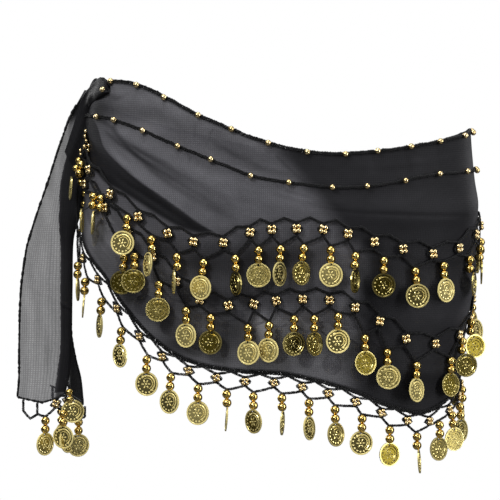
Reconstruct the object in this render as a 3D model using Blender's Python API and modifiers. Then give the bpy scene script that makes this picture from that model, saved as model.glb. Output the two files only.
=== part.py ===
"""Coin hip scarf, knotted at one hip and filled out as it is worn.

Metres, +Z up. The origin is the middle of the hips at the height of the knot.
Angles go round the hips in degrees: 0 is the front (-Y), 90 the side at +X, 180 the back.
The tables are in millimetres and degrees.
"""
import math
from collections import namedtuple
from functools import lru_cache

import bmesh
import bpy
from mathutils import Vector

MM = 0.001
CLOTH_THICK = 1.2 * MM
SEAM_GAP = 0.3 * MM
YARN_RADIUS = 1.3 * MM
HEM_YARN_RADIUS = 1.5 * MM

# The general hip form that the scarf is cut to lie on, with squared-off sides.
HIP_SQUARENESS = 2.4
HIP_WIDE, HIP_DEEP = 160 * MM, 96 * MM
Hip = namedtuple("Hip", "z half_width half_depth")
HIPS = [
    Hip(60, 157, 94), Hip(30, 160, 96), Hip(0, 163.5, 98), Hip(-30, 165.5, 99),
    Hip(-70, 169.5, 102), Hip(-100, 170, 102), Hip(-135, 167, 100), Hip(-160, 164, 99),
    Hip(-190, 158.5, 95), Hip(-220, 153.5, 92), Hip(-250, 149, 89), Hip(-300, 145, 87),
]

# Heights of the sewn lines round the scarf: top edge, beaded line, two coin rows, hem.
Line = namedtuple("Line", "angle top bead upper middle hem")
FRONT_LINES = [
    Line(-86, 20, 3, -8, -16, -34), Line(-84, 22, 3, -13, -24, -66),
    Line(-82, 24, 3, -17, -29, -80), Line(-78, 26, 2.5, -22, -36, -95),
    Line(-72, 27, 2, -29, -45, -107), Line(-64, 28, 0.5, -37, -53, -120),
    Line(-56, 28, -2, -47, -63, -134), Line(-48, 26, -7, -61, -80, -158),
    Line(-40, 20, -14, -75, -98, -181), Line(-32, 10, -23.5, -88, -119, -197),
    Line(-24, -2, -33, -96, -141, -205.5), Line(-16, -12, -42.5, -97, -148, -209.5),
    Line(-8, -21.5, -51.5, -88, -147, -211.5), Line(0, -28.5, -56, -86, -144, -212.5),
    Line(8, -33, -59, -85.5, -143, -216.5), Line(16, -34.5, -61, -88, -145, -222),
    Line(24, -33, -60, -95, -154, -229), Line(32, -30.5, -56.5, -101, -167, -238),
    Line(40, -27, -52, -105, -179, -244), Line(48, -23.5, -49, -106, -181, -247),
    Line(56, -20, -47.5, -101, -178, -243), Line(64, -17, -46, -93, -174, -237.5),
    Line(72, -14.5, -45, -88, -168, -231), Line(80, -12, -43.5, -83, -159, -224),
    Line(88, -10.5, -42.5, -80, -148, -218),
]
BACK_LINES = [
    Line(96, -10.5, -42, -78, -136, -212), Line(104, -11.5, -43, -77, -128, -204),
    Line(112, -13, -44, -77, -124, -197), Line(128, -18, -48, -80, -123, -190),
    Line(144, -24, -52, -82, -124, -186), Line(160, -28, -54, -82, -128, -177),
    Line(176, -26, -52, -78, -121, -166), Line(192, -18, -44, -71, -114, -162),
    Line(208, -8, -34, -60, -101, -148), Line(224, 2, -20, -42, -76, -114),
    Line(240, 11, -7, -25, -47, -69), Line(252, 17, 2, -12, -28, -44),
    Line(264, 19, 5, -8, -18, -30),
]
LINES = FRONT_LINES + BACK_LINES
SIDE_SEAM = 91.0
SEAM_ANGLE = 0.2
FRONT_COLUMNS = [-86, -84.5, -83, -81, -78, -74] + list(range(-70, 91, 4))
BACK_COLUMNS = list(range(95, 246, 5)) + [250, 255, 259, 262.6]
FRONT_START = -87
FRONT_LEVELS = 15
BACK_LEVELS = 8
FRONT_FACE = (FRONT_COLUMNS + [SIDE_SEAM - SEAM_ANGLE], FRONT_LEVELS)
BACK_FACE = ([SIDE_SEAM] + BACK_COLUMNS, BACK_LEVELS)

# Soft ridges that run out of the knot and across the hips.
FOLD_BLUNTNESS = 0.6
Fold = namedtuple("Fold", "angle_a z_a angle_b z_b angle_c z_c half height")
FOLDS = [
    Fold(-86, 0, -47, -43, -18, -98, 11, 4.5),
    Fold(-86, 8, -44, -24, -12, -74, 9, 3.5),
    Fold(-86, 12, -34, 2, 4, -44, 10, 2.5),
    Fold(-70, -80, -40, -132, 10, -178, 13, 2.6),
    Fold(6, -76, 36, -84, 86, -66, 10, 3.0),
    Fold(10, -118, 44, -146, 90, -128, 12, 3.5),
    Fold(92, -30, 130, -62, 172, -50, 11, 3.0),
    Fold(96, -110, 140, -112, 196, -92, 12, 3.5),
    Fold(178, -90, 214, -66, 260, 0, 14, 2.2),
]

# Coin rows: a flower of beads at each angle, then a coin, its sideways shift and its turn.
Repeat = namedtuple("Repeat", "angle shift turn")
UPPER_FRONT = [
    Repeat(-80, 0, 8), Repeat(-65.5, 0, 48), Repeat(-50.6, 5.5, -16), Repeat(-39.8, 0.5, 50),
    Repeat(-31, -2, 66), Repeat(-23.9, -4, 20), Repeat(-15.8, -2, 55), Repeat(-8.6, -2, -2),
    Repeat(-2.6, -3, -55), Repeat(4.2, -5, -42), Repeat(11.5, -4, -11), Repeat(18.3, -4.5, -54),
    Repeat(25.6, -4, -2), Repeat(34, -3, 8), Repeat(44.2, -4, -13), Repeat(55.7, -1, -20),
    Repeat(69, 0, -6),
]
MIDDLE_FRONT = [
    Repeat(-70, 6, 50), Repeat(-53.6, 11, -20), Repeat(-43.6, -3, -24), Repeat(-35.8, -3, -18),
    Repeat(-28.8, -1, 25), Repeat(-22.5, -3, 9), Repeat(-14.8, 5, 25), Repeat(-7.8, 3, 36),
    Repeat(-1.4, 4, -23), Repeat(6, -1, -41), Repeat(13.6, -3, -10), Repeat(21, 0, -12),
    Repeat(28.6, -3, 18), Repeat(37.7, -3, -21), Repeat(49.4, 5, 14), Repeat(63.6, -8, 45),
    Repeat(77, -14, 50), Repeat(90, 0, 44), Repeat(98.4, 0, 42),
]
HEM_FRONT = [
    Repeat(-80, -3, 10), Repeat(-70.5, -3, 26), Repeat(-59, -3, 27), Repeat(-50, -4, 18),
    Repeat(-42.4, -2, -8), Repeat(-35.4, -3, 16), Repeat(-27.5, -3, 13), Repeat(-19.3, -3, 78),
    Repeat(-10.8, -5, 42), Repeat(-2.1, -5, -80), Repeat(6.4, -5, -58), Repeat(14.4, -6, -43),
    Repeat(23, -6, -10), Repeat(31.6, -5, -7), Repeat(41.2, -3, -53), Repeat(51.1, -3, 8),
    Repeat(63.9, -9, 26), Repeat(76, -12, 26),
]
ROW_PITCH = 24 * MM
BACK_START = {"upper": 82.0, "middle": 106.8, "hem": 88.0}
BACK_END = {"upper": 242.0, "middle": 244.0, "hem": 238.0}
# How much higher some of the gathered coins are caught up, by their place in the row.
HITCHES = {
    "upper": {2: 9, 3: 5, 12: 3, 14: 6},
    "middle": {1: -5, 2: 4, 5: 4, 6: -3, 7: -3, 10: 4, 11: -4, 12: -4, 13: -2, 14: -3, 15: 9, 16: 9, 17: 2},
    "hem": {0: -7, 1: -2, 15: 5, 16: 6, 17: 4},
}
BACK_TURNS = [12, -40, 66, -8, 30, 5, 22, 52, -18, -70, -58, 38]

# One repeat of the net, measured down from the sewn line.
NET_THICK = 1.4 * MM
NET_CLEAR = 1.0 * MM
STRUT = 2.2
FLOWER_TOP = 4.0
FLOWER_BOTTOM = 14.5
FLOWER_HALF = 4.4
ROOT_DROP = 22.0
ROOT_HALF = 1.5
NET_LEAN = 0.1
LEAN_STEP = 2.0 * MM
HEM_NET_SCALE = 0.65

# One hanging coin, measured down from its root: two beads, then an eight-sided coin.
Ring = namedtuple("Ring", "drop half_wide half_thick twist")
BEAD_HALF = 2.7
COIN_RADIUS = 10.0
COIN_HALF_THICK = 0.7
COIN_CENTRE = 24.3
COIN_FLAT = COIN_RADIUS * math.sin(math.radians(22.5))
COIN_WIDE = COIN_RADIUS * math.cos(math.radians(22.5))
DANGLE = [
    Ring(3.6, BEAD_HALF, BEAD_HALF, 0.3),
    Ring(7.2, 1.0, 1.0, 0.6),
    Ring(10.8, BEAD_HALF, BEAD_HALF, 1.0),
    Ring(COIN_CENTRE - COIN_WIDE, COIN_FLAT, COIN_HALF_THICK, 1.0),
    Ring(COIN_CENTRE - COIN_FLAT, COIN_WIDE, COIN_HALF_THICK, 1.0),
    Ring(COIN_CENTRE + COIN_FLAT, COIN_WIDE, COIN_HALF_THICK, 1.0),
    Ring(COIN_CENTRE + COIN_WIDE, COIN_FLAT, COIN_HALF_THICK, 1.0),
]
HANG_GAP = 0.8
NET_REACH = 2.4
BEAD_REACH = 9.2
NET_OVERLAY = 2.0 * MM
NET_CLOSE = 34.0
NET_EASE = 6.0
BEAD_CLOSE = 42.0
COIN_CLOSE = 44.0

# The two tie ends: the outer edge, the turned-back edge and the inner edge at each height.
Tie = namedtuple("Tie", "z outer turned inner front back")
TIE_FRONT = [
    Tie(26, -168, -166, -163.8, -3.6, -1.2), Tie(7, -178.5, -174, -169.6, -9, -4),
    Tie(-20, -188, -179.5, -173, -12, -5), Tie(-54, -199, -187, -176.6, -13, -6),
    Tie(-83, -209.3, -188.6, -177.4, -14, -7), Tie(-111, -217, -187.3, -178.2, -14, -7),
    Tie(-147, -221.5, -188, -178.4, -14, -7), Tie(-194, -223, -188.6, -178.8, -13, -6),
    Tie(-222, -223.6, -190.5, -180.5, -12, -6), Tie(-238, -225, -193, -184, -12, -6),
]
TIE_BACK = [
    Tie(26, -168.6, -166.8, -165.5, 2.5, 6), Tie(7, -178.5, -174, -169.6, 3, 7.5),
    Tie(-20, -186, -179, -173, 3, 9), Tie(-54, -193, -184, -177.5, 2, 9),
    Tie(-111, -199, -188, -180, 1, 9), Tie(-180, -202, -189, -180, 1, 9),
    Tie(-205, -202, -187, -176, 1, 8), Tie(-222, -201, -185, -172, 1, 8),
    Tie(-243, -198, -183, -169.8, 1, 8),
]
Edge = namedtuple("Edge", "x y z")
TIE_FRONT_EDGE = [
    Edge(-225, -11, -239), Edge(-210, -10, -244), Edge(-196, -10.5, -239.5), Edge(-184, -11.5, -235),
]
TIE_BACK_EDGE = [
    Edge(-198, 1.5, -229.6), Edge(-190, 2.5, -233.6), Edge(-180, 2.5, -239.6), Edge(-166, 1.5, -248.6),
]
TIE_FRONT_REPEATS = [
    Repeat(-220, 0, None), Repeat(-208, -1, -48), Repeat(-192, 2, 24), Repeat(-183, 0, None),
]
TIE_BACK_REPEATS = [Repeat(-196, 1, 52), Repeat(-183, 2, -30), Repeat(-168, 0, None)]
TIE_NET_SCALE = 0.6
TIE_CLEAR = 10 * MM
TIE_FRONT_DIPS = (0, -5, 4, 3)
TIE_BACK_DIPS = (14, 10, -3, 8)
TIE_LEVELS = 14
KNOT_CENTRE = Vector((-0.1585, 0.0028, 0.018))
KNOT_HALF = Vector((0.0062, 0.0092, 0.0185))
KNOT_TURNS = 3
KNOT_SLANT = 1.6
KNOT_RIDGE = 0.12

COLOURS = {
    "cloth": ((0.012, 0.012, 0.014, 1), 0.75, 0.0),
    "yarn": ((0.006, 0.006, 0.007, 1), 0.9, 0.0),
    "gold": ((0.80, 0.53, 0.14, 1), 0.28, 1.0),
}


def blendRows(rows, key, position):
    """Return every other column of a table at a position between its rows, as a smooth curve."""
    keys = [getattr(row, key) for row in rows]
    if keys[0] > keys[-1]:
        keys = keys[::-1]
        rows = rows[::-1]
    position = min(max(position, keys[0]), keys[-1])
    i = max(j for j in range(len(keys) - 1) if keys[j] <= position)
    span = keys[i + 1] - keys[i]
    t = (position - keys[i]) / span
    values = []
    for column in range(len(rows[0])):
        def slope(j):
            low, high = max(j - 1, 0), min(j + 1, len(rows) - 1)
            return (rows[high][column] - rows[low][column]) / (keys[high] - keys[low])
        p, q = rows[i][column], rows[i + 1][column]
        m, n = slope(i) * span, slope(i + 1) * span
        values.append(p + m * t + (3 * (q - p) - 2 * m - n) * t ** 2 + (2 * (p - q) + m + n) * t ** 3)
    return type(rows[0])(*values)


@lru_cache(maxsize=None)
def lineHeight(name, angle):
    return getattr(blendRows(LINES, "angle", angle), name) * MM


def foldHeight(angle, z):
    """Return how far the soft ridges push the cloth outward at one place."""
    total = 0.0
    for fold in FOLDS:
        if not fold.angle_a <= angle <= fold.angle_c:
            continue
        a, b, c = fold.angle_a, fold.angle_b, fold.angle_c
        centre = (fold.z_a * (angle - b) * (angle - c) / ((a - b) * (a - c))
                  + fold.z_b * (angle - a) * (angle - c) / ((b - a) * (b - c))
                  + fold.z_c * (angle - a) * (angle - b) / ((c - a) * (c - b)))
        along = math.sin(math.pi * (angle - a) / (c - a)) ** FOLD_BLUNTNESS
        away = (z / MM - centre) / fold.half
        total += fold.height * MM * along * math.exp(-away * away)
    return total


def hipFrame(angle, z):
    """Return the point, outward normal and rightward tangent of the hip form."""
    hip = blendRows(HIPS, "z", z / MM)
    a, b = hip.half_width * MM, hip.half_depth * MM
    s, c = math.sin(math.radians(angle)), math.cos(math.radians(angle))
    reach = (abs(s) ** HIP_SQUARENESS + abs(c) ** HIP_SQUARENESS) ** (-1 / HIP_SQUARENESS)
    point = Vector((a * reach * s, -b * reach * c, z))
    power = HIP_SQUARENESS - 1
    normal = Vector((math.copysign(abs(reach * s) ** power / a, s),
                     -math.copysign(abs(reach * c) ** power / b, c), 0)).normalized()
    return point, normal, Vector((-normal.y, normal.x, 0))


@lru_cache(maxsize=None)
def wallCorner(angle, level):
    """Return one corner of the panels' outer faces, by its column's angle and its level."""
    top, hem = lineHeight("top", angle), lineHeight("hem", angle)
    z = top + (hem - top) * level
    point, normal, _ = hipFrame(angle, z)
    return point + normal * foldHeight(angle, z)


def clothPoint(angle, z, out=0.0):
    """Return a point on the cloth's outer facets, or straight below its hem, moved out."""
    columns, levels = FRONT_FACE if angle <= SIDE_SEAM else BACK_FACE
    angle = min(max(angle, columns[0]), columns[-1])
    i = max(j for j in range(len(columns) - 1) if columns[j] <= angle)
    near, far = columns[i], columns[i + 1]
    across = (angle - near) / (far - near)
    top = lineHeight("top", near) * (1 - across) + lineHeight("top", far) * across
    hem = lineHeight("hem", near) * (1 - across) + lineHeight("hem", far) * across
    down = min(max((z - top) / (hem - top), 0), 1) * levels
    k = min(int(down), levels - 1)
    rise = down - k
    upper = wallCorner(near, k / levels).lerp(wallCorner(far, k / levels), across)
    lower = wallCorner(near, (k + 1) / levels).lerp(wallCorner(far, (k + 1) / levels), across)
    point = upper.lerp(lower, rise) + hipFrame(angle, z)[1] * out
    point.z = z
    return point


def slide(angle, z, distance):
    """Return the angle reached after a distance along the cloth."""
    step = (clothPoint(angle + 0.5, z) - clothPoint(angle - 0.5, z)).length
    return angle + distance / step


def material(kind, name):
    colour, roughness, metallic = COLOURS[kind]
    made = bpy.data.materials.new(name)
    made.use_nodes = True
    shader = made.node_tree.nodes["Principled BSDF"]
    shader.inputs["Base Color"].default_value = colour
    shader.inputs["Roughness"].default_value = roughness
    shader.inputs["Metallic"].default_value = metallic
    return made


def newObject(name, data, kind, collection):
    made = bpy.data.objects.new(name, data)
    data.materials.append(material(kind, name))
    collection.objects.link(made)
    return made


def meshObject(name, bm, kind, collection):
    bmesh.ops.recalc_face_normals(bm, faces=bm.faces)
    mesh = bpy.data.meshes.new(name)
    bm.to_mesh(mesh)
    bm.free()
    return newObject(name, mesh, kind, collection)


def gridWall(name, columns, levels, place, collection, side=-1):
    """Shape a grid by columns and levels and thicken it, to its inside or its outside."""
    bm = bmesh.new()
    bmesh.ops.create_grid(bm, x_segments=len(columns) - 1, y_segments=levels, size=0.5)
    for vertex in bm.verts:
        column = columns[round((vertex.co.x + 0.5) * (len(columns) - 1))]
        vertex.co = place(column, 0.5 - vertex.co.y)
    mesh = bpy.data.meshes.new(name)
    bm.to_mesh(mesh)
    bm.free()
    wall = newObject(name, mesh, "cloth", collection)
    solidify = wall.modifiers.new("cloth", "SOLIDIFY")
    solidify.thickness = CLOTH_THICK
    solidify.offset = side
    return wall


def yarn(name, points, radius, collection):
    curve = bpy.data.curves.new(name, "CURVE")
    curve.dimensions = "3D"
    curve.bevel_depth = radius
    curve.bevel_resolution = 0
    curve.use_fill_caps = True
    spline = curve.splines.new("POLY")
    spline.points.add(len(points) - 1)
    for point, place in zip(spline.points, points):
        point.co = (*place, 1)
    return newObject(name, curve, "yarn", collection)


def besideEdge(points, normals, distance):
    """Move an edge's points away from the cloth, square to the edge, with mitred corners."""
    moved = []
    for i, (point, normal) in enumerate(zip(points, normals)):
        before = points[max(i - 1, 0)], points[max(i, 1)]
        after = points[min(i, len(points) - 2)], points[min(i + 1, len(points) - 1)]
        first = normal.cross((before[1] - before[0]).normalized()).normalized()
        second = normal.cross((after[1] - after[0]).normalized()).normalized()
        away = (first + second).normalized()
        moved.append(point + away * (distance / away.dot(first)))
    return moved


def edgeYarns(collection):
    """Lay the edging on the top edge, the beaded line on the cloth, and the hem yarn."""
    columns = FRONT_COLUMNS + [SIDE_SEAM] + BACK_COLUMNS
    middle = -CLOTH_THICK / 2
    normals = [hipFrame(angle, 0)[1] for angle in columns]
    top = [clothPoint(angle, lineHeight("top", angle), middle) for angle in columns]
    bead = [clothPoint(angle, lineHeight("bead", angle), YARN_RADIUS + SEAM_GAP) for angle in columns]
    hem = [clothPoint(angle, lineHeight("hem", angle), middle) for angle in columns]
    top = besideEdge(top, normals, YARN_RADIUS + SEAM_GAP)
    hem = besideEdge(hem, normals, -HEM_YARN_RADIUS - SEAM_GAP)
    yarn("edge_yarn", top[1:-1], YARN_RADIUS, collection)
    yarn("bead_line_yarn", bead, YARN_RADIUS, collection)
    yarn("hem_yarn", hem, HEM_YARN_RADIUS, collection)


class HipRow:
    """A coin row sewn along one line of the scarf."""

    def __init__(self, name, front):
        self.name = name
        self.sewn = 2 * HEM_YARN_RADIUS if name == "hem" else 0.0
        self.scale = HEM_NET_SCALE if name == "hem" else 1.0
        self.repeats = list(front) + self.backRepeats()
        self.close = {"upper": "middle", "middle": "hem", "hem": None}[name]
        self.hitches = HITCHES[name]

    def backRepeats(self):
        angle, made = BACK_START[self.name], []
        while angle < BACK_END[self.name]:
            made.append(Repeat(angle, 0, BACK_TURNS[(5 * len(made)) % len(BACK_TURNS)]))
            angle = slide(angle, lineHeight(self.name, angle), ROW_PITCH)
        return made

    def height(self, angle):
        return lineHeight(self.name, angle) - self.sewn

    def flowers(self):
        return [repeat.angle for repeat in self.repeats]

    def across(self, angle, distance, drop):
        """Return the angle of a net point: its distance along the row, leaning downhill."""
        z = self.height(angle)
        there = slide(angle, z, distance)
        ahead, behind = slide(there, z, LEAN_STEP), slide(there, z, -LEAN_STEP)
        slope = (self.height(ahead) - self.height(behind)) / (2 * LEAN_STEP)
        return there, slide(there, z, slope * drop * NET_LEAN)

    def place(self, angle, distance, drop, out):
        drop = drop * self.scale * MM
        there, leaned = self.across(angle, distance * MM, drop)
        z = self.height(there) - drop
        return clothPoint(leaned, z, NET_CLEAR + self.overlay(there) + out)

    def overlay(self, angle):
        """Return how far the whole net lies above the next one where the two run together."""
        if self.close is None:
            return 0.0
        apart = (lineHeight(self.name, angle) - lineHeight(self.close, angle)) / MM
        return NET_OVERLAY * min(max((NET_CLOSE - apart) / NET_EASE, 0), 1)

    def cover(self, point, reach):
        """Return how far out the cloth comes behind a hanging piece, along one normal."""
        guess = math.degrees(math.atan2(point.x / HIP_WIDE, -point.y / HIP_DEEP))
        guess = guess + 360 if guess < FRONT_START else guess
        _, normal, _ = hipFrame(guess, point.z)
        found = [clothPoint(slide(guess, point.z, side * reach), point.z).dot(normal)
                 for side in (-1, 0, 1)]
        return max(found), normal

    def lift(self, angle, is_coin):
        """Return how far out the net or the beads of the next row hold a hanging piece."""
        if self.close is None:
            return 0.0
        apart = (lineHeight(self.name, angle) - lineHeight(self.close, angle)) / MM
        if is_coin:
            return BEAD_REACH if apart < COIN_CLOSE else NET_REACH
        return NET_REACH if apart < BEAD_CLOSE else 0.0


class NetMesh:
    """A net cut from one sheet of yarn, with coins grown from its lowest edges."""

    def __init__(self):
        self.bm = bmesh.new()
        self.pairs = {}
        self.used = {}

    def knot(self, key, outer, inner):
        if key not in self.pairs:
            self.pairs[key] = (self.bm.verts.new(outer), self.bm.verts.new(inner))

    def face(self, *keys):
        self.bm.faces.new([self.pairs[key][0] for key in keys])
        self.bm.faces.new([self.pairs[key][1] for key in reversed(keys)])
        for first, second in zip(keys, keys[1:] + keys[:1]):
            self.used[(first, second)] = True

    def sides(self, roots):
        """Close the sheet's edges, all but the roots that the coins grow from."""
        for first, second in list(self.used):
            if (second, first) in self.used or (first, second) in roots:
                continue
            a, b = self.pairs[first], self.pairs[second]
            self.bm.faces.new((a[0], a[1], b[1], b[0]))

    def grow(self, left, right, rings):
        """Add a coin's rings of four points below the edge from left to right."""
        a, b = self.pairs[left], self.pairs[right]
        last = [a[0], b[0], b[1], a[1]]
        for ring in rings:
            fresh = [self.bm.verts.new(corner) for corner in ring]
            for i in range(4):
                j = (i + 1) % 4
                self.bm.faces.new((last[i], last[j], fresh[j], fresh[i]))
            last = fresh
        self.bm.faces.new(last)


class TieRow:
    """A short coin row along the end of one tie, which hangs flat and faces the front."""

    def __init__(self, table, repeats):
        self.table = table
        self.repeats = repeats
        self.scale = TIE_NET_SCALE
        self.hitches = {}

    def flowers(self):
        return [repeat.angle for repeat in self.repeats]

    def place(self, x, distance, drop, out):
        edge = blendRows(self.table, "x", x + distance)
        y = edge.y * MM - out
        return Vector(((x + distance) * MM, y, (edge.z - drop * TIE_NET_SCALE) * MM - SEAM_GAP))

    def cover(self, point, reach):
        normal = Vector((0, -1, 0))
        return point.dot(normal) - TIE_CLEAR, normal

    def lift(self, x, is_coin):
        return 0.0


def dangleRings(row, root, turn, angle):
    """Return the corners of a coin's rings, hung straight down and held off the cloth."""
    outs, middles = [], []
    for ring in DANGLE:
        turned = math.radians(turn) * ring.twist
        reach = ring.half_wide * abs(math.sin(turned)) + ring.half_thick * abs(math.cos(turned))
        middle = root - Vector((0, 0, ring.drop * MM))
        cover, normal = row.cover(middle, ring.half_wide * MM)
        need = reach + row.lift(angle, ring.half_thick == COIN_HALF_THICK) + HANG_GAP
        outs.append(max(middle.dot(normal), cover + need * MM))
        middles.append(middle)
    coin_out = max(out for out, ring in zip(outs, DANGLE) if ring.half_thick == COIN_HALF_THICK)
    normal = row.cover(root, 0)[1]
    tangent = Vector((-normal.y, normal.x, 0))
    corners = []
    for ring, middle, out in zip(DANGLE, middles, outs):
        out = coin_out if ring.half_thick == COIN_HALF_THICK else out
        turned = math.radians(turn) * ring.twist
        centre = middle + normal * (out - middle.dot(normal))
        wide = (tangent * math.cos(turned) + normal * math.sin(turned)) * ring.half_wide * MM
        thick = (normal * math.cos(turned) - tangent * math.sin(turned)) * ring.half_thick * MM
        corners.append([centre - wide + thick, centre + wide + thick,
                        centre + wide - thick, centre - wide - thick])
    return corners


def coinRow(name, row, collection):
    """Build one row: a zigzag chain, flowers, a lower chain and the coins between flowers."""
    net = NetMesh()

    def point(key, angle, distance, drop):
        net.knot(key, row.place(angle, distance, drop, NET_THICK), row.place(angle, distance, drop, 0))

    angles = row.flowers()
    for i, angle in enumerate(angles):
        point(("top", i), angle, 0, FLOWER_TOP)
        point(("left", i), angle, -FLOWER_HALF, (FLOWER_TOP + FLOWER_BOTTOM) / 2)
        point(("right", i), angle, FLOWER_HALF, (FLOWER_TOP + FLOWER_BOTTOM) / 2)
        point(("foot", i), angle, 0, FLOWER_BOTTOM)
        net.face(("top", i), ("left", i), ("foot", i), ("right", i))
    roots = []
    for i in range(len(angles) - 1):
        middle = (angles[i] + angles[i + 1]) / 2
        shift = row.repeats[i].shift
        drop = ROOT_DROP - row.hitches.get(i, 0) / row.scale
        point(("crest", i), middle, 0, 0)
        point(("eave", i), middle, 0, STRUT)
        point(("valley", i), middle, shift, drop - STRUT)
        point(("rootleft", i), middle, shift - ROOT_HALF, drop)
        point(("rootright", i), middle, shift + ROOT_HALF, drop)
        net.face(("crest", i), ("top", i), ("right", i), ("eave", i))
        net.face(("top", i + 1), ("crest", i), ("eave", i), ("left", i + 1))
        net.face(("right", i), ("foot", i), ("rootleft", i), ("valley", i))
        net.face(("foot", i + 1), ("left", i + 1), ("valley", i), ("rootright", i))
        net.face(("valley", i), ("rootleft", i), ("rootright", i))
        if row.repeats[i].turn is not None:
            roots.append((("rootleft", i), ("rootright", i)))
    net.sides(roots)
    for left, right in roots:
        i = left[1]
        corners = [corner.co for key in (left, right) for corner in net.pairs[key]]
        root = sum(corners, Vector()) / 4
        middle = (angles[i] + angles[i + 1]) / 2
        net.grow(left, right, dangleRings(row, root, row.repeats[i].turn, middle))
    meshObject(name, net.bm, "gold", collection)


def tieWall(name, table, dips, collection):
    """Hang one tie end: a sheet with its inner edge turned back on itself."""
    columns = [0, 1, 2, 3]
    top, foot = table[0].z, table[-1].z

    def place(column, level):
        row = blendRows(table, "z", top + (foot - top) * level)
        across = [(row.outer, row.front), ((row.outer + row.turned) / 2, (row.front * 3 + row.back) / 4),
                  (row.inner, row.front), (row.turned, row.back)][column]
        z = row.z + dips[column] * level ** 4
        return Vector((across[0], across[1], z)) * MM

    gridWall(name, columns, TIE_LEVELS, place, collection, side=1)


def knotBody(collection):
    """Shape the knot as a ball drawn out upward, with the wrapped cloth's slanted ridges."""
    bm = bmesh.new()
    bmesh.ops.create_uvsphere(bm, u_segments=14, v_segments=10, radius=1)
    for vertex in bm.verts:
        turn = math.atan2(vertex.co.y, vertex.co.x)
        ridge = 1 + KNOT_RIDGE * math.cos(KNOT_TURNS * (turn + KNOT_SLANT * vertex.co.z))
        ridge = 1 + (ridge - 1) * (1 - vertex.co.z ** 2)
        vertex.co = Vector((vertex.co.x * KNOT_HALF.x * ridge, vertex.co.y * KNOT_HALF.y * ridge,
                            vertex.co.z * KNOT_HALF.z)) + KNOT_CENTRE
    meshObject("knot", bm, "cloth", collection)


def main():
    for old in list(bpy.data.objects):
        bpy.data.objects.remove(old, do_unlink=True)
    collection = bpy.data.collections.new("coin_hip_scarf")
    bpy.context.scene.collection.children.link(collection)
    gridWall("panel_front", *FRONT_FACE, wallCorner, collection)
    gridWall("panel_back", *BACK_FACE, wallCorner, collection)
    edgeYarns(collection)
    coinRow("fringe_upper", HipRow("upper", UPPER_FRONT), collection)
    coinRow("fringe_middle", HipRow("middle", MIDDLE_FRONT), collection)
    coinRow("fringe_hem", HipRow("hem", HEM_FRONT), collection)
    tieWall("tie_front", TIE_FRONT, TIE_FRONT_DIPS, collection)
    tieWall("tie_back", TIE_BACK, TIE_BACK_DIPS, collection)
    coinRow("fringe_tie_front", TieRow(TIE_FRONT_EDGE, TIE_FRONT_REPEATS), collection)
    coinRow("fringe_tie_back", TieRow(TIE_BACK_EDGE, TIE_BACK_REPEATS), collection)
    knotBody(collection)


main()
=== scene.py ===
import math
import random
from collections import namedtuple
from functools import lru_cache

import bpy
from mathutils import Matrix, Vector, noise


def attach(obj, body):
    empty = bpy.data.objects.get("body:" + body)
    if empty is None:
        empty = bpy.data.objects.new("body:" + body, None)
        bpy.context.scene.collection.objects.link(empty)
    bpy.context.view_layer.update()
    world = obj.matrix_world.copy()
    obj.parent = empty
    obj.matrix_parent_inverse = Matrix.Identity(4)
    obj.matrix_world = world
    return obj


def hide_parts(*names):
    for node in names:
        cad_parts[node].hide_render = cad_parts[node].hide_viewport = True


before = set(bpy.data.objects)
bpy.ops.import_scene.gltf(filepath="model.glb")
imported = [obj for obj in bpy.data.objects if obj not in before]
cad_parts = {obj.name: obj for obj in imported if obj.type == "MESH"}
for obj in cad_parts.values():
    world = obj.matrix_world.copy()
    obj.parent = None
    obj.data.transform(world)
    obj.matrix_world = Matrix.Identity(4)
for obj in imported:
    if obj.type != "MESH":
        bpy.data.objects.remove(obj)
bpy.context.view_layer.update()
bpy.ops.object.select_all(action="DESELECT")
mm = 0.001
up = Vector((0, 0, 1))
draws = random.Random(11)


def table(kind, rows):
    return [kind(*row) for row in rows]


# the hips that fill the scarf out, in millimetres; angle 0 is the front, 90 the side at +X
hipRow = namedtuple("hipRow", "z halfWidth halfDepth")
hips = table(hipRow, [
    (60, 157, 94), (30, 160, 96), (0, 163.5, 98), (-30, 165.5, 99), (-70, 169.5, 102), (-100, 170, 102),
    (-135, 167, 100), (-160, 164, 99), (-190, 158.5, 95), (-220, 153.5, 92), (-250, 149, 89),
    (-300, 145, 87),
])
squareness = 2.4

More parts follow.
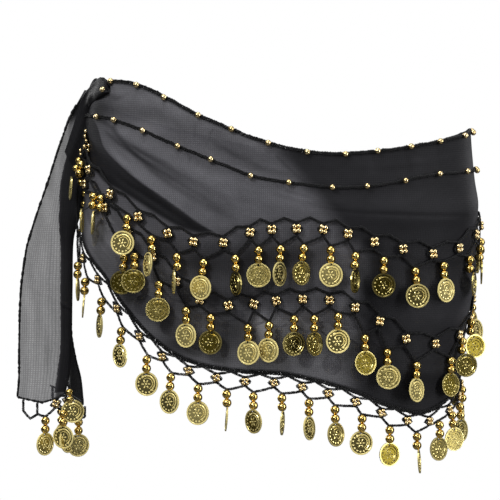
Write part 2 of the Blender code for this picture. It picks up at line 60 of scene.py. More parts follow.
# heights of the sewn lines: top edge, beaded line, two coin rows and hem
lineRow = namedtuple("lineRow", "angle top bead upper middle hem")
lines = table(lineRow, [
    (-86, 20, 3, -8, -16, -34), (-84, 22, 3, -13, -24, -66), (-82, 24, 3, -17, -29, -80),
    (-78, 26, 2.5, -22, -36, -95), (-72, 27, 2, -29, -45, -107), (-64, 28, 0.5, -37, -53, -120),
    (-56, 28, -2, -47, -63, -134), (-48, 26, -7, -61, -80, -158), (-40, 20, -14, -75, -98, -181),
    (-32, 10, -23.5, -88, -119, -197), (-24, -2, -33, -96, -141, -205.5),
    (-16, -12, -42.5, -97, -148, -209.5), (-8, -21.5, -51.5, -88, -147, -211.5),
    (0, -28.5, -56, -86, -144, -212.5), (8, -33, -59, -85.5, -143, -216.5),
    (16, -34.5, -61, -88, -145, -222), (24, -33, -60, -95, -154, -229),
    (32, -30.5, -56.5, -101, -167, -238), (40, -27, -52, -105, -179, -244),
    (48, -23.5, -49, -106, -181, -247), (56, -20, -47.5, -101, -178, -243),
    (64, -17, -46, -93, -174, -237.5), (72, -14.5, -45, -88, -168, -231), (80, -12, -43.5, -83, -159, -224),
    (88, -10.5, -42.5, -80, -148, -218), (96, -10.5, -42, -78, -136, -212),
    (104, -11.5, -43, -77, -128, -204), (112, -13, -44, -77, -124, -197), (128, -18, -48, -80, -123, -190),
    (144, -24, -52, -82, -124, -186), (160, -28, -54, -82, -128, -177), (176, -26, -52, -78, -121, -166),
    (192, -18, -44, -71, -114, -162), (208, -8, -34, -60, -101, -148), (224, 2, -20, -42, -76, -114),
    (240, 11, -7, -25, -47, -69), (252, 17, 2, -12, -28, -44), (264, 19, 5, -8, -18, -30),
])
farHip = 90.9  # the angle at which the near and far stretches of the strip meet
frontEnds = (-86.0, farHip)
backEnds = (farHip, 262.6)

# soft ridges out of the knot and across the hips, each a bow through three places
foldRow = namedtuple("foldRow", "angleA zA angleB zB angleC zC half height")
mainFolds = table(foldRow, [
    (-86, 0, -47, -43, -18, -98, 11, 4.5), (-86, 8, -44, -24, -12, -74, 9, 3.5),
    (-86, 12, -34, 2, 4, -44, 10, 2.5), (-70, -80, -40, -132, 10, -178, 13, 2.6),
    (6, -76, 36, -84, 86, -66, 10, 3.0), (10, -118, 44, -146, 90, -128, 12, 3.5),
    (92, -30, 130, -62, 172, -50, 11, 3.0), (96, -110, 140, -112, 196, -92, 12, 3.5),
    (178, -90, 214, -66, 260, 0, 14, 2.2),
])
# sharper creases; a minus height is a trough
creases = table(foldRow, [
    (-61, -8, -41.9, -37, -17, -78, 2.6, -1.3), (-48, -21, -38, -36, -30, -44, 2.2, -0.8),
    (-53, -48, -34, -75, -22, -98, 3.0, -1.2), (-62, -10, -40, -55, -19, -98, 3.2, 1.1),
    (-20, -22, -12, -37, -6, -43, 2.4, -0.8), (14, -79.5, 31, -82.6, 62, -82.8, 2.0, -0.9),
    (18, -44, 40, -40, 62, -32, 3.0, 0.6), (-4, -62, 8, -72, 20, -74, 2.4, 0.7),
    (-74, -62, -58, -96, -44, -128, 4.0, 0.9), (-36, -150, -14, -172, 12, -184, 4.5, 0.9),
    (20, -196, 44, -214, 74, -204, 5.0, 1.0), (30, -112, 52, -120, 84, -104, 3.5, 0.8),
    (96, -60, 124, -78, 150, -84, 2.8, 0.9), (110, -30, 138, -40, 170, -38, 2.6, -0.8),
    (120, -150, 150, -156, 184, -142, 4.0, 1.0), (200, -60, 228, -32, 260, 4, 2.8, 1.2),
    (190, -100, 214, -86, 240, -40, 3.4, -1.1), (222, -90, 240, -52, 262, -10, 3.0, 1.0),
])
pleats = {"height": 10, "count": 9, "depth": 1.3, "reach": 42}  # gathered at the knot, in millimetres
ripple = {"size": 34, "depth": 0.5}  # the cloth's slight unevenness everywhere


def blendRows(rows, position):
    # every column at a position between the rows, as a smooth curve
    keys = [row[0] for row in rows]
    if keys[0] > keys[-1]:
        rows, keys = rows[::-1], keys[::-1]
    position = min(max(position, keys[0]), keys[-1])
    i = max(j for j in range(len(keys) - 1) if keys[j] <= position)
    span = keys[i + 1] - keys[i]
    t = (position - keys[i]) / span
    values = []
    for column in range(len(rows[0])):
        def slope(j):
            low, high = max(j - 1, 0), min(j + 1, len(rows) - 1)
            return (rows[high][column] - rows[low][column]) / (keys[high] - keys[low])
        p, q = rows[i][column], rows[i + 1][column]
        m, n = slope(i) * span, slope(i + 1) * span
        values.append(p + m * t + (3 * (q - p) - 2 * m - n) * t ** 2 + (2 * (p - q) + m + n) * t ** 3)
    return type(rows[0])(*values)


@lru_cache(maxsize=None)
def lineHeight(name, angle):
    return getattr(blendRows(lines, angle), name) * mm


def hipFrame(angle, z):
    # the point, outward normal and rightward tangent of the hip form
    row = blendRows(hips, z / mm)
    a, b = row.halfWidth * mm, row.halfDepth * mm
    s, c = math.sin(math.radians(angle)), math.cos(math.radians(angle))
    reach = (abs(s) ** squareness + abs(c) ** squareness) ** (-1 / squareness)
    power = squareness - 1
    normal = Vector((math.copysign(abs(reach * s) ** power / a, s),
                     -math.copysign(abs(reach * c) ** power / b, c), 0)).normalized()
    return Vector((a * reach * s, -b * reach * c, z)), normal, Vector((-normal.y, normal.x, 0))


@lru_cache(maxsize=None)
def wholeArcs():
    # millimetres round the hips at each whole degree, from the front's start
    spots = [hipFrame(angle, -0.1)[0] for angle in range(-90, 271)]
    arcs = [0.0]
    for before, after in zip(spots, spots[1:]):
        arcs.append(arcs[-1] + (after - before).length / mm)
    return arcs


def arcAt(angle):
    arcs = wholeArcs()
    at = min(max(angle + 90, 0), len(arcs) - 1.001)
    return arcs[int(at)] + (arcs[int(at) + 1] - arcs[int(at)]) * (at % 1)


def bowHeight(row, angle):
    a, b, c = row.angleA, row.angleB, row.angleC
    return (row.zA * (angle - b) * (angle - c) / ((a - b) * (a - c))
            + row.zB * (angle - a) * (angle - c) / ((b - a) * (b - c))
            + row.zC * (angle - a) * (angle - b) / ((c - a) * (c - b)))


def pushOut(rows, angle, z, bluntness):
    total = 0.0
    for row in rows:
        if row.angleA < angle < row.angleC:
            along = math.sin(math.pi * (angle - row.angleA) / (row.angleC - row.angleA)) ** bluntness
            away = (z / mm - bowHeight(row, angle)) / row.half
            if abs(away) < 4:
                total += row.height * mm * along * math.exp(-away * away)
    return total


def pleatPush(angle, z):
    # the folds that fan out of the knot, from both ends of the strip
    ends = [arcAt(angle) - arcAt(frontEnds[0]), arcAt(backEnds[1]) - arcAt(angle)]
    across = max(min(ends), 0)
    if across > 4 * pleats["reach"]:
        return 0.0
    turn = math.atan2(z / mm - pleats["height"], across + 6)
    fade = math.exp(-across / pleats["reach"]) * min(across / 8, 1)
    return pleats["depth"] * mm * math.sin(pleats["count"] * turn) * fade


def clothPoint(angle, z, out=0.0):
    # a point on the cloth, or straight below its hem, moved out
    ends = frontEnds if angle < farHip else backEnds
    angle = min(max(angle, ends[0]), ends[1])
    at = min(max(z, lineHeight("hem", angle)), lineHeight("top", angle))
    point, normal, _ = hipFrame(angle, at)
    push = pushOut(mainFolds, angle, at, 0.6) + pushOut(creases, angle, at, 1.0) + pleatPush(angle, at)
    spot = Vector((arcAt(angle), at / mm, 0)) / ripple["size"]
    push += noise.noise(spot) * ripple["depth"] * mm
    point += normal * (push + out)
    point.z = z
    return point


def slide(angle, z, distance):
    step = (clothPoint(angle + 0.5, z) - clothPoint(angle - 0.5, z)).length
    return angle + distance / step


# finishes
def newMaterial(name, colour, roughness, metallic=0.0, sheen=0.0):
    made = bpy.data.materials.new(name)
    made.use_nodes = True
    shader = made.node_tree.nodes["Principled BSDF"]
    shader.inputs["Base Color"].default_value = (*colour, 1)
    shader.inputs["Roughness"].default_value = roughness
    shader.inputs["Metallic"].default_value = metallic
    shader.inputs["Sheen Weight"].default_value = sheen
    return made, made.node_tree, shader


def mathNode(tree, operation, first, second=0.5, clamp=False):
    made = tree.nodes.new("ShaderNodeMath")
    made.operation = operation
    made.use_clamp = clamp
    for socket, value in zip(made.inputs, (first, second)):
        if isinstance(value, (int, float)):
            socket.default_value = value
        else:
            tree.links.new(value, socket)
    return made.outputs[0]


def times(tree, first, second):
    return mathNode(tree, "MULTIPLY", first, second)


def plus(tree, first, second, clamp=False):
    return mathNode(tree, "ADD", first, second, clamp)


def minus(tree, first, second, clamp=False):
    return mathNode(tree, "SUBTRACT", first, second, clamp)


def noiseNode(tree, place, scale, detail):
    made = tree.nodes.new("ShaderNodeTexNoise")
    made.inputs["Scale"].default_value = scale
    made.inputs["Detail"].default_value = detail
    tree.links.new(place, made.inputs["Vector"])
    return made.outputs["Fac"]


def rangeNode(tree, value, before, after):
    made = tree.nodes.new("ShaderNodeMapRange")
    for label, limit in zip(("From Min", "From Max", "To Min", "To Max"), (*before, *after)):
        made.inputs[label].default_value = limit
    tree.links.new(value, made.inputs["Value"])
    return made.outputs[0]


def colourNode(tree, factor, none, full):
    made = tree.nodes.new("ShaderNodeMix")
    made.data_type = "RGBA"
    made.inputs["A"].default_value = (*none, 1)
    made.inputs["B"].default_value = (*full, 1)
    tree.links.new(factor, made.inputs["Factor"])
    return made.outputs["Result"]


def addBump(tree, shader, height, distance, strength=1.0):
    made = tree.nodes.new("ShaderNodeBump")
    made.inputs["Distance"].default_value = distance
    made.inputs["Strength"].default_value = strength
    tree.links.new(height, made.inputs["Height"])
    tree.links.new(made.outputs[0], shader.inputs["Normal"])


def newGroup(name, inputs, outputs):
    group = bpy.data.node_groups.new(name, "ShaderNodeTree")
    for label, value in inputs.items():
        kind = "NodeSocketVector" if value is None else "NodeSocketFloat"
        socket = group.interface.new_socket(label, in_out="INPUT", socket_type=kind)
        if value is not None:
            socket.default_value = value
    for label in outputs:
        group.interface.new_socket(label, in_out="OUTPUT", socket_type="NodeSocketFloat")
    return group, group.nodes.new("NodeGroupInput"), group.nodes.new("NodeGroupOutput")


# how unevenly the threads of the chiffon run
weaving = {"wanderScale": 90, "wander": 5.0, "slubScale": 420}


def weaveGroup():
    # warp and weft as two sets of rounded threads, with slubs and uneven spacing
    group, given, result = newGroup("weave", {"Cloth": None, "Threads": 600.0, "Slub": 0.4},
                                    ["Thread", "Unevenness"])
    place = given.outputs["Cloth"]
    wander = times(group, noiseNode(group, place, weaving["wanderScale"], 3), weaving["wander"])
    split = group.nodes.new("ShaderNodeSeparateXYZ")
    group.links.new(place, split.inputs[0])
    threads = []
    for axis in ("X", "Y"):
        turns = times(group, split.outputs[axis], given.outputs["Threads"])
        wave = mathNode(group, "SINE", plus(group, times(group, turns, math.tau), wander))
        threads.append(plus(group, times(group, wave, 0.5), 0.5))
    group.links.new(mathNode(group, "MAXIMUM", *threads), result.inputs["Thread"])
    centred = minus(group, noiseNode(group, place, weaving["slubScale"], 4), 0.5)
    uneven = plus(group, times(group, centred, given.outputs["Slub"]), 1.0)
    group.links.new(uneven, result.inputs["Unevenness"])
    return group


def attributeNode(tree, name):
    made = tree.nodes.new("ShaderNodeAttribute")
    made.attribute_name = name
    return made.outputs["Fac"]


# threads are counted in each metre; between and onThread are how much light passes there
# dense is the cloth's own black; the grey after it is the lit grey of the painted light
cloth = {
    "dense": (0.003, 0.003, 0.004), "paintedLit": (0.151, 0.149, 0.165), "roughness": 0.6, "gloss": 0.10,
    "threads": 620.0, "between": 1.45, "onThread": 0.62, "bump": 0.0002, "bumpStrength": 0.6,
}


def clothMaterial(name):
    # sheer cloth: how much it hides is painted on each piece, and so is painted light, which lifts its black
    # towards a lit grey in place of the key light and the light that comes through it
    made, tree, shader = newMaterial(name, cloth["dense"], cloth["roughness"])
    shader.inputs["Specular IOR Level"].default_value = cloth["gloss"]
    place = tree.nodes.new("ShaderNodeUVMap")
    woven = tree.nodes.new("ShaderNodeGroup")
    woven.node_tree = weaveGroup()
    woven.inputs["Threads"].default_value = cloth["threads"]
    tree.links.new(place.outputs[0], woven.inputs["Cloth"])
    thread = woven.outputs["Thread"]
    holes = minus(tree, cloth["between"], times(tree, thread, cloth["onThread"]))
    uneven = times(tree, holes, woven.outputs["Unevenness"])
    passing = times(tree, minus(tree, 1.0, attributeNode(tree, "hiding")), uneven)
    tree.links.new(minus(tree, 1.0, passing, clamp=True), shader.inputs["Alpha"])
    # painted light: the base colour runs from the cloth's black to the lit grey
    paintedLightLevel = times(tree, attributeNode(tree, "paintedLight"), uneven)
    tree.links.new(colourNode(tree, paintedLightLevel, cloth["dense"], cloth["paintedLit"]), shader.inputs["Base Color"])
    addBump(tree, shader, thread, cloth["bump"], cloth["bumpStrength"])
    return made


yarn = {
    "tone": (0.004, 0.004, 0.005), "roughness": 0.8, "sheen": 0.04, "gloss": 0.25, "fibres": 2600,
    "bump": 0.0003, "fibreRange": (0.35, 0.75), "roughnessRange": (0.45, 0.9),
}


def yarnMaterial():
    made, tree, shader = newMaterial("crocheted_yarn", yarn["tone"], yarn["roughness"], sheen=yarn["sheen"])
    shader.inputs["Specular IOR Level"].default_value = yarn["gloss"]
    place = tree.nodes.new("ShaderNodeTexCoord")
    fibre = noiseNode(tree, place.outputs["Object"], yarn["fibres"], 3)
    roughness = rangeNode(tree, fibre, yarn["fibreRange"], yarn["roughnessRange"])
    tree.links.new(roughness, shader.inputs["Roughness"])
    addBump(tree, shader, fibre, yarn["bump"])
    return made


# polish and worn are the roughness where it is bright and where it is dull; haze is how metallic the
# brightest places stay
# the first two colours are bright and dull metal, and lit and shaded gold on coins whose tone is given
golds = {
    "coin_gold": {"brightAndLit": (1.0, 0.85, 0.35), "dullAndShaded": (0.11, 0.085, 0.012), "polish": 0.20, "worn": 0.32,
                  "grain": 200, "mottle": 0.25, "dents": 0.00016, "haze": 0.2},
    "bead_gold": {"brightAndLit": (0.92, 0.71, 0.26), "dullAndShaded": (0.60, 0.42, 0.12), "polish": 0.10, "worn": 0.18,
                  "grain": 300, "mottle": 0.2, "dents": 0, "haze": 1},
    "pale_gold": {"brightAndLit": (0.90, 0.74, 0.44), "dullAndShaded": (0.66, 0.50, 0.24), "polish": 0.12, "worn": 0.22,
                  "grain": 300, "mottle": 0.2, "dents": 0, "haze": 1},
}
# how far a coin's own tone and the painted highlight on its relief and rim lift it, and between which tones
# the metal turns hazy
goldToneAndLight = {"own": 0.6, "relief": 0.33, "reliefByOwn": 0.5, "hazeFrom": 0.45, "hazeTo": 0.85}


def goldMaterial(name):
    # the tone on each bead or coin runs from 0, dull, to 1, bright; where a coin row gives it, it is painted
    # light, how much that coin catches the light, and elsewhere it is mostly drawn; "raised" marks a coin's
    # relief
    gold = golds[name]
    made, tree, shader = newMaterial(name, gold["brightAndLit"], gold["polish"], metallic=1.0)
    place = tree.nodes.new("ShaderNodeTexCoord")
    spots = noiseNode(tree, place.outputs["Object"], gold["grain"], 2)
    own = attributeNode(tree, "tone")
    # painted highlight on the relief and rim, stronger on coins painted as lit
    lift = plus(tree, times(tree, own, goldToneAndLight["reliefByOwn"]), goldToneAndLight["relief"])
    raised = times(tree, attributeNode(tree, "raised"), lift)
    tone = plus(tree, times(tree, own, goldToneAndLight["own"]), raised)
    shift = times(tree, minus(tree, spots, 0.5), gold["mottle"])
    mottled = plus(tree, tone, shift, clamp=True)
    tree.links.new(colourNode(tree, mottled, gold["dullAndShaded"], gold["brightAndLit"]), shader.inputs["Base Color"])
    roughness = rangeNode(tree, mottled, (0, 1), (gold["worn"], gold["polish"]))
    tree.links.new(roughness, shader.inputs["Roughness"])
    if gold["haze"] < 1:
        metal = rangeNode(tree, tone, (goldToneAndLight["hazeFrom"], goldToneAndLight["hazeTo"]), (1, gold["haze"]))
        tree.links.new(metal, shader.inputs["Metallic"])
    if gold["dents"]:
        addBump(tree, shader, spots, gold["dents"])
    return made


chiffon = clothMaterial("chiffon")
yarnFinish = yarnMaterial()
coinGold, beadGold, paleGold = (goldMaterial(name) for name in golds)
print("finishes made")


# cloth
def finishPiece(piece, finish, slot, *nodes):
    piece.data.materials.clear()
    piece.data.materials.append(finish)
    for face in piece.data.polygons:
        face.use_smooth = True
    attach(piece, "root")
    if nodes:
        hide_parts(*nodes)
    return piece


def paint(piece, name, values):
    piece.data.attributes.new(name, "FLOAT", "POINT").data.foreach_set("value", values)


def sheetGrid(name, columns, levels, place):
    # place gives the point, how much the cloth hides there, its painted light and its place on the flat
    # cloth in metres
    bpy.ops.mesh.primitive_grid_add(x_subdivisions=columns, y_subdivisions=levels, size=1)
    piece = bpy.context.object
    piece.name = piece.data.name = name
    mesh = piece.data
    found = [place(vertex.co.x + 0.5, 0.5 - vertex.co.y) for vertex in mesh.vertices]
    for vertex, spot in zip(mesh.vertices, found):
        vertex.co = spot[0]
    paint(piece, "hiding", [spot[1] for spot in found])
    paint(piece, "paintedLight", [spot[2] for spot in found])
    for loop, corner in zip(mesh.loops, mesh.uv_layers[0].data):
        corner.uv = found[loop.vertex_index][3]
    piece.select_set(False)
    return piece


def smooth(low, high, value):
    t = min(max((value - low) / (high - low), 0), 1)
    return t * t * (3 - 2 * t)


# where the strip lies double, between two lines out of the knot
doubleRow = namedtuple("doubleRow", "angle upper lower")
doubled = table(doubleRow, [
    (-86, 8, -22), (-74, 5, -34), (-66.8, -1, -44), (-61.3, -9.6, -49), (-56.6, -24.6, -55),
    (-47.8, -41.1, -63.5), (-40.1, -55.2, -74), (-33.4, -66.9, -85), (-27.6, -78.6, -94),
    (-22.9, -89.1, -98), (-18, -98, -99),
])
# painted shade along thin dark creases in the cloth
creaseRow = namedtuple("creaseRow", "angle z half keep")
creaseShadeLines = [table(creaseRow, route) for route in [
    [(-66, 2, 3.0, 0.35), (-60, -3, 2.6, 0.42), (-52.8, -10.4, 2.4, 0.45), (-43.5, -31.8, 2.4, 0.48),
     (-36.4, -47.4, 2.8, 0.5), (-30.6, -58.4, 2.8, 0.5), (-23.7, -69.6, 3.2, 0.58), (-16.9, -80, 3.4, 0.7),
     (-12.6, -89, 3.4, 0.9)],
    [(-48.3, -21.9, 1.0, 0.95), (-42.9, -27.7, 1.4, 0.7), (-36.3, -38.2, 1.6, 0.72), (-26, -52.8, 2.6, 0.8),
     (-12, -72, 3, 0.95)],
    [(-20.5, -20, 0.8, 0.95), (-18, -27.8, 2.0, 0.66), (-10.1, -41, 3.0, 0.6), (-2.5, -48.4, 3.4, 0.62),
     (6, -52, 4, 0.9)],
    [(-24.5, -8.4, 1.2, 0.9), (-24.4, -16, 1.0, 0.72), (-24.6, -23.1, 1.2, 0.95)],
    [(-19.3, -13.8, 1.2, 0.7), (-20.2, -18, 1.0, 0.8), (-20.3, -23.7, 1.2, 0.95)],
    [(-26.6, -31.7, 1.0, 0.7), (-25.7, -36.7, 1.0, 0.65), (-26, -42.4, 1.2, 0.95)],
    [(-55, 16, 3.0, 0.7), (-52, 14, 2.0, 0.7), (-46.6, 17.4, 1.4, 0.95)],
    [(-54.6, 8, 1.4, 0.8), (-54, 2, 1.2, 0.9)],
    [(-1, -36, 1.6, 0.7), (3, -48, 1.6, 0.7), (8, -60, 2.4, 0.8)],
    [(8, -76, 1.0, 0.95), (15.9, -79.5, 1.4, 0.5), (23.1, -81.9, 1.5, 0.5), (31.2, -82.6, 1.5, 0.5),
     (43.4, -83.2, 1.5, 0.6), (61, -82.8, 1.6, 0.7)],
    [(2, -64, 2.0, 0.8), (10, -72, 2.0, 0.7), (20, -74, 2.5, 0.95)],
    [(26, -34, 1.4, 0.75), (26.6, -52, 1.4, 0.95)],
    [(36, -30, 1.6, 0.72), (38, -48, 1.4, 0.95)],
    [(48, -28, 1.6, 0.8), (49, -44, 1.4, 0.95)],
    [(228, -30, 1.4, 0.6), (244, -12, 1.6, 0.5), (259, 2, 2.4, 0.4)],
    [(118, -74, 1.4, 0.7), (136, -84, 1.5, 0.65), (158, -88, 1.5, 0.9)],
]]
# broad painted light and shade: lighter and darker places, each multiplying the painted light and the light
# that passes
patchRow = namedtuple("patchRow", "angle z wide deep keep")
lightAndShadePatches = table(patchRow, [
    (-33, -112, 15, 13, 0.30), (-22, -122, 26, 17, 0.22), (-9, -120, 26, 17, 0.22), (3, -118, 26, 15, 0.32),
    (-16, -150, 24, 15, 0.30), (-28, -150, 16, 14, 0.45), (-1, -146, 20, 12, 0.45), (-72, -80, 16, 26, 0.9),
    (-58, -128, 26, 16, 0.8), (-46, -155, 24, 20, 0.4), (-31, -190, 18, 12, 0.25),
    (-15, -184, 20, 15, 0.35), (-5, -176, 4.5, 9, 4.2), (-15, -166, 22, 9, 0.5), (-56, -150, 24, 14, 1.15),
    (-38, -10, 20, 7, 1.6), (-62, -99, 18, 14, 1.6), (14, -196, 30, 16, 0.9), (-4.5, -36, 22, 7, 0.8),
    (30, -70, 60, 8, 1.4), (46, -160, 26, 14, 2.6), (48, -224, 34, 14, 0.5), (26, -160, 20, 14, 0.6),
    (70, -53, 12, 70, 2.3), (26, -42, 5, 12, 1.4), (40, -40, 6, 12, 1.3), (60, -110, 26, 12, 0.7),
    (84, -150, 14, 80, 2.0), (70, -160, 18, 40, 3.0), (-34, -163, 14, 12, 0.45), (-65, 5, 19, 12, 0.12),
    (80, -53, 16, 60, 1.7), (110, -60, 40, 40, 1.3), (150, -120, 60, 30, 0.7), (200, -60, 50, 30, 1.3),
])
# above this line the top edge is turned over and sewn down, so it hides more
bandRow = namedtuple("bandRow", "angle z")
topBand = table(bandRow, [
    (-86, 17), (-78, 16), (-70, 15.3), (-62, 10.1), (-54, 3.2), (-46, -2.6), (-38, -8.7), (-30, -14.9),
    (-22, -20.7), (-14, -26), (-6, -31), (2, -34.4), (10, -36.2), (18, -36.4), (26, -34), (38, -28.9),
    (50, -22.6), (62, -17.7), (90, -10.6),
])
# passing is how much light the plain cloth lets through, and the number after it the painted light on the
# plain cloth; lengths are millimetres, side angles degrees
panels = {
    "front": {"node": "panel_front", "ends": frontEnds, "columns": 340, "levels": 170, "passing": 0.02,
              "paintedLight": 0.56},
    "back": {"node": "panel_back", "ends": backEnds, "columns": 230, "levels": 90, "passing": 0.06,
             "paintedLight": 0.45},
}
# painted shade on the side turned from the key light and near the knot, and painted wrinkle streaks
panelShading = {
    "hemKeep": 0.4, "hemSoft": (2.2, 0.6), "knotShadeKeep": 0.2, "knotSoft": (38, 12), "shadedSideKeep": 0.13,
    "bendAngle": 0.6, "bendHeight": -37, "bendLean": 0.276, "bendLimit": 22, "bendSoft": (5, 4),
    "backSide": (132, 92), "doubled": 0.8, "upperSoft": (0.6, -0.9), "lowerSoft": (-2.5, 2.5),
    "core": 0.12, "coreAbove": 3, "coreHalf": 6, "turnedOver": 0.45, "turnedSoft": (-1.5, 1.5),
    "wrinkleShade": [(0.2, 34, 16, 2), (0.14, 11, 36, 5)],  # strength, length, number down the cloth, seed
}


def creaseShadeKeep(angle, z):
    keep, here = 1.0, Vector((arcAt(angle), z / mm))
    for rows in creaseShadeLines:
        if not rows[0].angle - 4 < angle < rows[-1].angle + 4:
            continue
        for a, b in zip(rows, rows[1:]):
            start, end = Vector((arcAt(a.angle), a.z)), Vector((arcAt(b.angle), b.z))
            along = end - start
            t = min(max((here - start).dot(along) / along.length_squared, 0), 1)
            away = (here - start - along * t).length / (a.half + (b.half - a.half) * t)
            if away < 3:
                level = a.keep + (b.keep - a.keep) * t
                keep = min(keep, 1 - (1 - level) * math.exp(-away * away))
    return keep


def doubledKeep(angle, z):
    if not doubled[0].angle <= angle <= doubled[-1].angle:
        return 1.0
    size, row = panelShading, blendRows(doubled, angle)
    inside = smooth(*size["upperSoft"], z / mm - row.upper) * smooth(*size["lowerSoft"], z / mm - row.lower)
    core = math.exp(-((z / mm - row.lower - size["coreAbove"]) / size["coreHalf"]) ** 2)
    return 1 - inside * (size["doubled"] + size["core"] * core)


def panelShade(angle, z):
    # 1 where the cloth is plain and light; less where it lies double and at its rolled edges, and less in
    # painted shade in its creases, near the knot where it gathers and on the side away from the key light;
    # painted patches and wrinkle streaks make it lighter and darker. It sets the painted light and how much
    # the cloth hides
    size, top, hem = panelShading, lineHeight("top", angle), lineHeight("hem", angle)
    shade = 1 - (1 - size["hemKeep"]) * smooth(*size["hemSoft"], min(top - z, z - hem) / mm)
    fromKnot = min(arcAt(angle) - arcAt(frontEnds[0]), arcAt(backEnds[1]) - arcAt(angle))
    # painted shade near the knot, where the cloth also gathers
    shade *= 1 - (1 - size["knotShadeKeep"]) * smooth(*size["knotSoft"], fromKnot)
    if angle < farHip:
        bend = min(size["bendAngle"] - (z / mm - size["bendHeight"]) * size["bendLean"], size["bendLimit"])
        past = smooth(bend - size["bendSoft"][0], bend + size["bendSoft"][1], angle)
        shade *= doubledKeep(angle, z)
    else:
        past = smooth(*size["backSide"], angle)
    # painted shade on the side turned away from the key light
    shade *= 1 - (1 - size["shadedSideKeep"]) * past
    for patch in lightAndShadePatches:
        aside, below = arcAt(angle) - arcAt(patch.angle), z / mm - patch.z
        spread = (aside / patch.wide) ** 2 + (below / patch.deep) ** 2
        if spread < 9:
            shade *= 1 + (patch.keep - 1) * math.exp(-spread)
    # streaks of painted wrinkle shade and light, running along the cloth
    down = (z - top) / (hem - top)
    for strength, length, number, seed in size["wrinkleShade"]:
        shade *= 1 + strength * noise.noise(Vector((arcAt(angle) / length, down * number, seed)))
    # painted shade along the creases
    return shade * creaseShadeKeep(angle, z)


def makePanel(name, panel):
    ends = panel["ends"]

    def place(across, down):
        angle = ends[0] + (ends[1] - ends[0]) * across
        top, hem = lineHeight("top", angle), lineHeight("hem", angle)
        z = top + (hem - top) * down
        shade = panelShade(angle, z)
        openness = shade
        if angle < farHip:
            turned = smooth(*panelShading["turnedSoft"], z / mm - blendRows(topBand, angle).z)
            openness *= 1 - panelShading["turnedOver"] * turned
        # the painted light follows the painted shade
        hiding, paintedLight = 1 - panel["passing"] * openness, panel["paintedLight"] * shade
        return clothPoint(angle, z), hiding, paintedLight, (arcAt(angle) * mm, z)

    grid = sheetGrid(name, panel["columns"], panel["levels"], place)
    return finishPiece(grid, chiffon, "chiffon", panel["node"])


frontPanel = makePanel("front_panel", panels["front"])
backPanel = makePanel("back_panel", panels["back"])
print("panels made")

# the two ties hang flat, each with its inner edge turned back on itself
tieRow = namedtuple("tieRow", "z outer turned inner front back")
frontTie = table(tieRow, [
    (20, -168.6, -165, -158, -14, -9), (7, -177.2, -170, -160, -15, -9),
    (-20, -187.4, -179, -162.5, -17, -10), (-54, -198.4, -187, -165, -17, -10),
    (-76, -206, -188.2, -168.5, -17, -10), (-88, -210, -188.6, -173.5, -16, -9),
    (-99, -213.5, -188, -176.4, -15, -8), (-111, -217, -187.3, -177.6, -14, -7),
    (-147, -221.8, -187.6, -178, -14, -7), (-194, -223.4, -187.6, -178.8, -13, -6),
    (-222, -223.6, -190.5, -180.5, -12, -6), (-238, -225, -193, -184, -12, -6),
])
backTie = table(tieRow, [
    (26, -168.6, -166.8, -163.5, 2.5, 6), (7, -178.5, -174, -169.6, 3, 7.5), (-20, -186, -179, -173, 3, 9),
    (-54, -193, -184, -177.5, 2, 9), (-111, -199, -188, -180, 1, 9), (-180, -202, -189, -180, 1, 9),
    (-205, -202, -187, -176, 1, 8), (-222, -201, -185, -172, 1, 8), (-243, -198, -183, -169.8, 1, 8),
])
tieWaveRow = namedtuple("tieWaveRow", "x z slant half height")
tieWaves = table(tieWaveRow, [
    (-205, -148, -0.55, 3.0, 1.2), (-192, -122, 9.0, 2.4, 1.0), (-207, -60, 3.2, 4.0, 1.0),
    (-200, -200, 6.0, 4.5, 0.9), (-213, -180, -7.0, 3.5, -0.8), (-196, -30, 2.4, 2.5, 0.8),
])
ties = {
    "front": {"name": "tie_front_end", "node": "tie_front", "rows": frontTie, "dips": (0, -5, 4, 3),
              "passing": 0.19},
    "back": {"name": "tie_back_end", "node": "tie_back", "rows": backTie, "dips": (14, 10, -3, 8),
             "passing": 0.34},
}
# left of coveredBefore the front tie lies over the back one, which shows as a single loose layer there
tieSizes = {
    "paintedLight": 0.31, "waveReach": 34, "unevenSize": 16, "uneven": 0.6, "doubled": 0.84, "topShade": 0.85,
    "coveredBefore": -181.5, "covered": 0.05, "inset": 1.2, "foldAt": 0.74, "columns": 44, "levels": 230,
}


def tieShape(tie, across, down):
    # the sheet's cross-section runs from the outer edge to the inner fold and back behind
    rows, dips, foldAt = tie["rows"], tie["dips"], tieSizes["foldAt"]
    top, foot = rows[0].z, rows[-1].z
    row = blendRows(rows, top + (foot - top) * down)
    middle = ((row.outer + row.turned) / 2, (row.front * 3 + row.back) / 4)
    knots = [(row.outer, row.front), middle, (row.turned + 0.4 * (row.inner - row.turned), row.front),
             (row.inner, (row.front * 2 + row.back) / 3), (row.inner - tieSizes["inset"], row.back),
             (row.turned, row.back)]
    stops = (0.0, 0.3, 0.56, foldAt, 0.80, 1.0)
    i = max(j for j in range(5) if stops[j] <= min(across, 0.9999))
    t = (across - stops[i]) / (stops[i + 1] - stops[i])
    before, after = knots[max(i - 1, 0)], knots[min(i + 2, 5)]
    point = [0.5 * (2 * p + (q - o) * t + (2 * o - 5 * p + 4 * q - r) * t * t
                    + (3 * p - o - 3 * q + r) * t ** 3)
             for o, p, q, r in zip(before, knots[i], knots[i + 1], after)]
    corner = across / foldAt * 2 if across < foldAt else 2 + (across - foldAt) / (1 - foldAt)
    low = min(int(corner), 2)
    dip = dips[low] + (dips[low + 1] - dips[low]) * (corner - low)
    return Vector((point[0], point[1], row.z + dip * down ** 4)), row


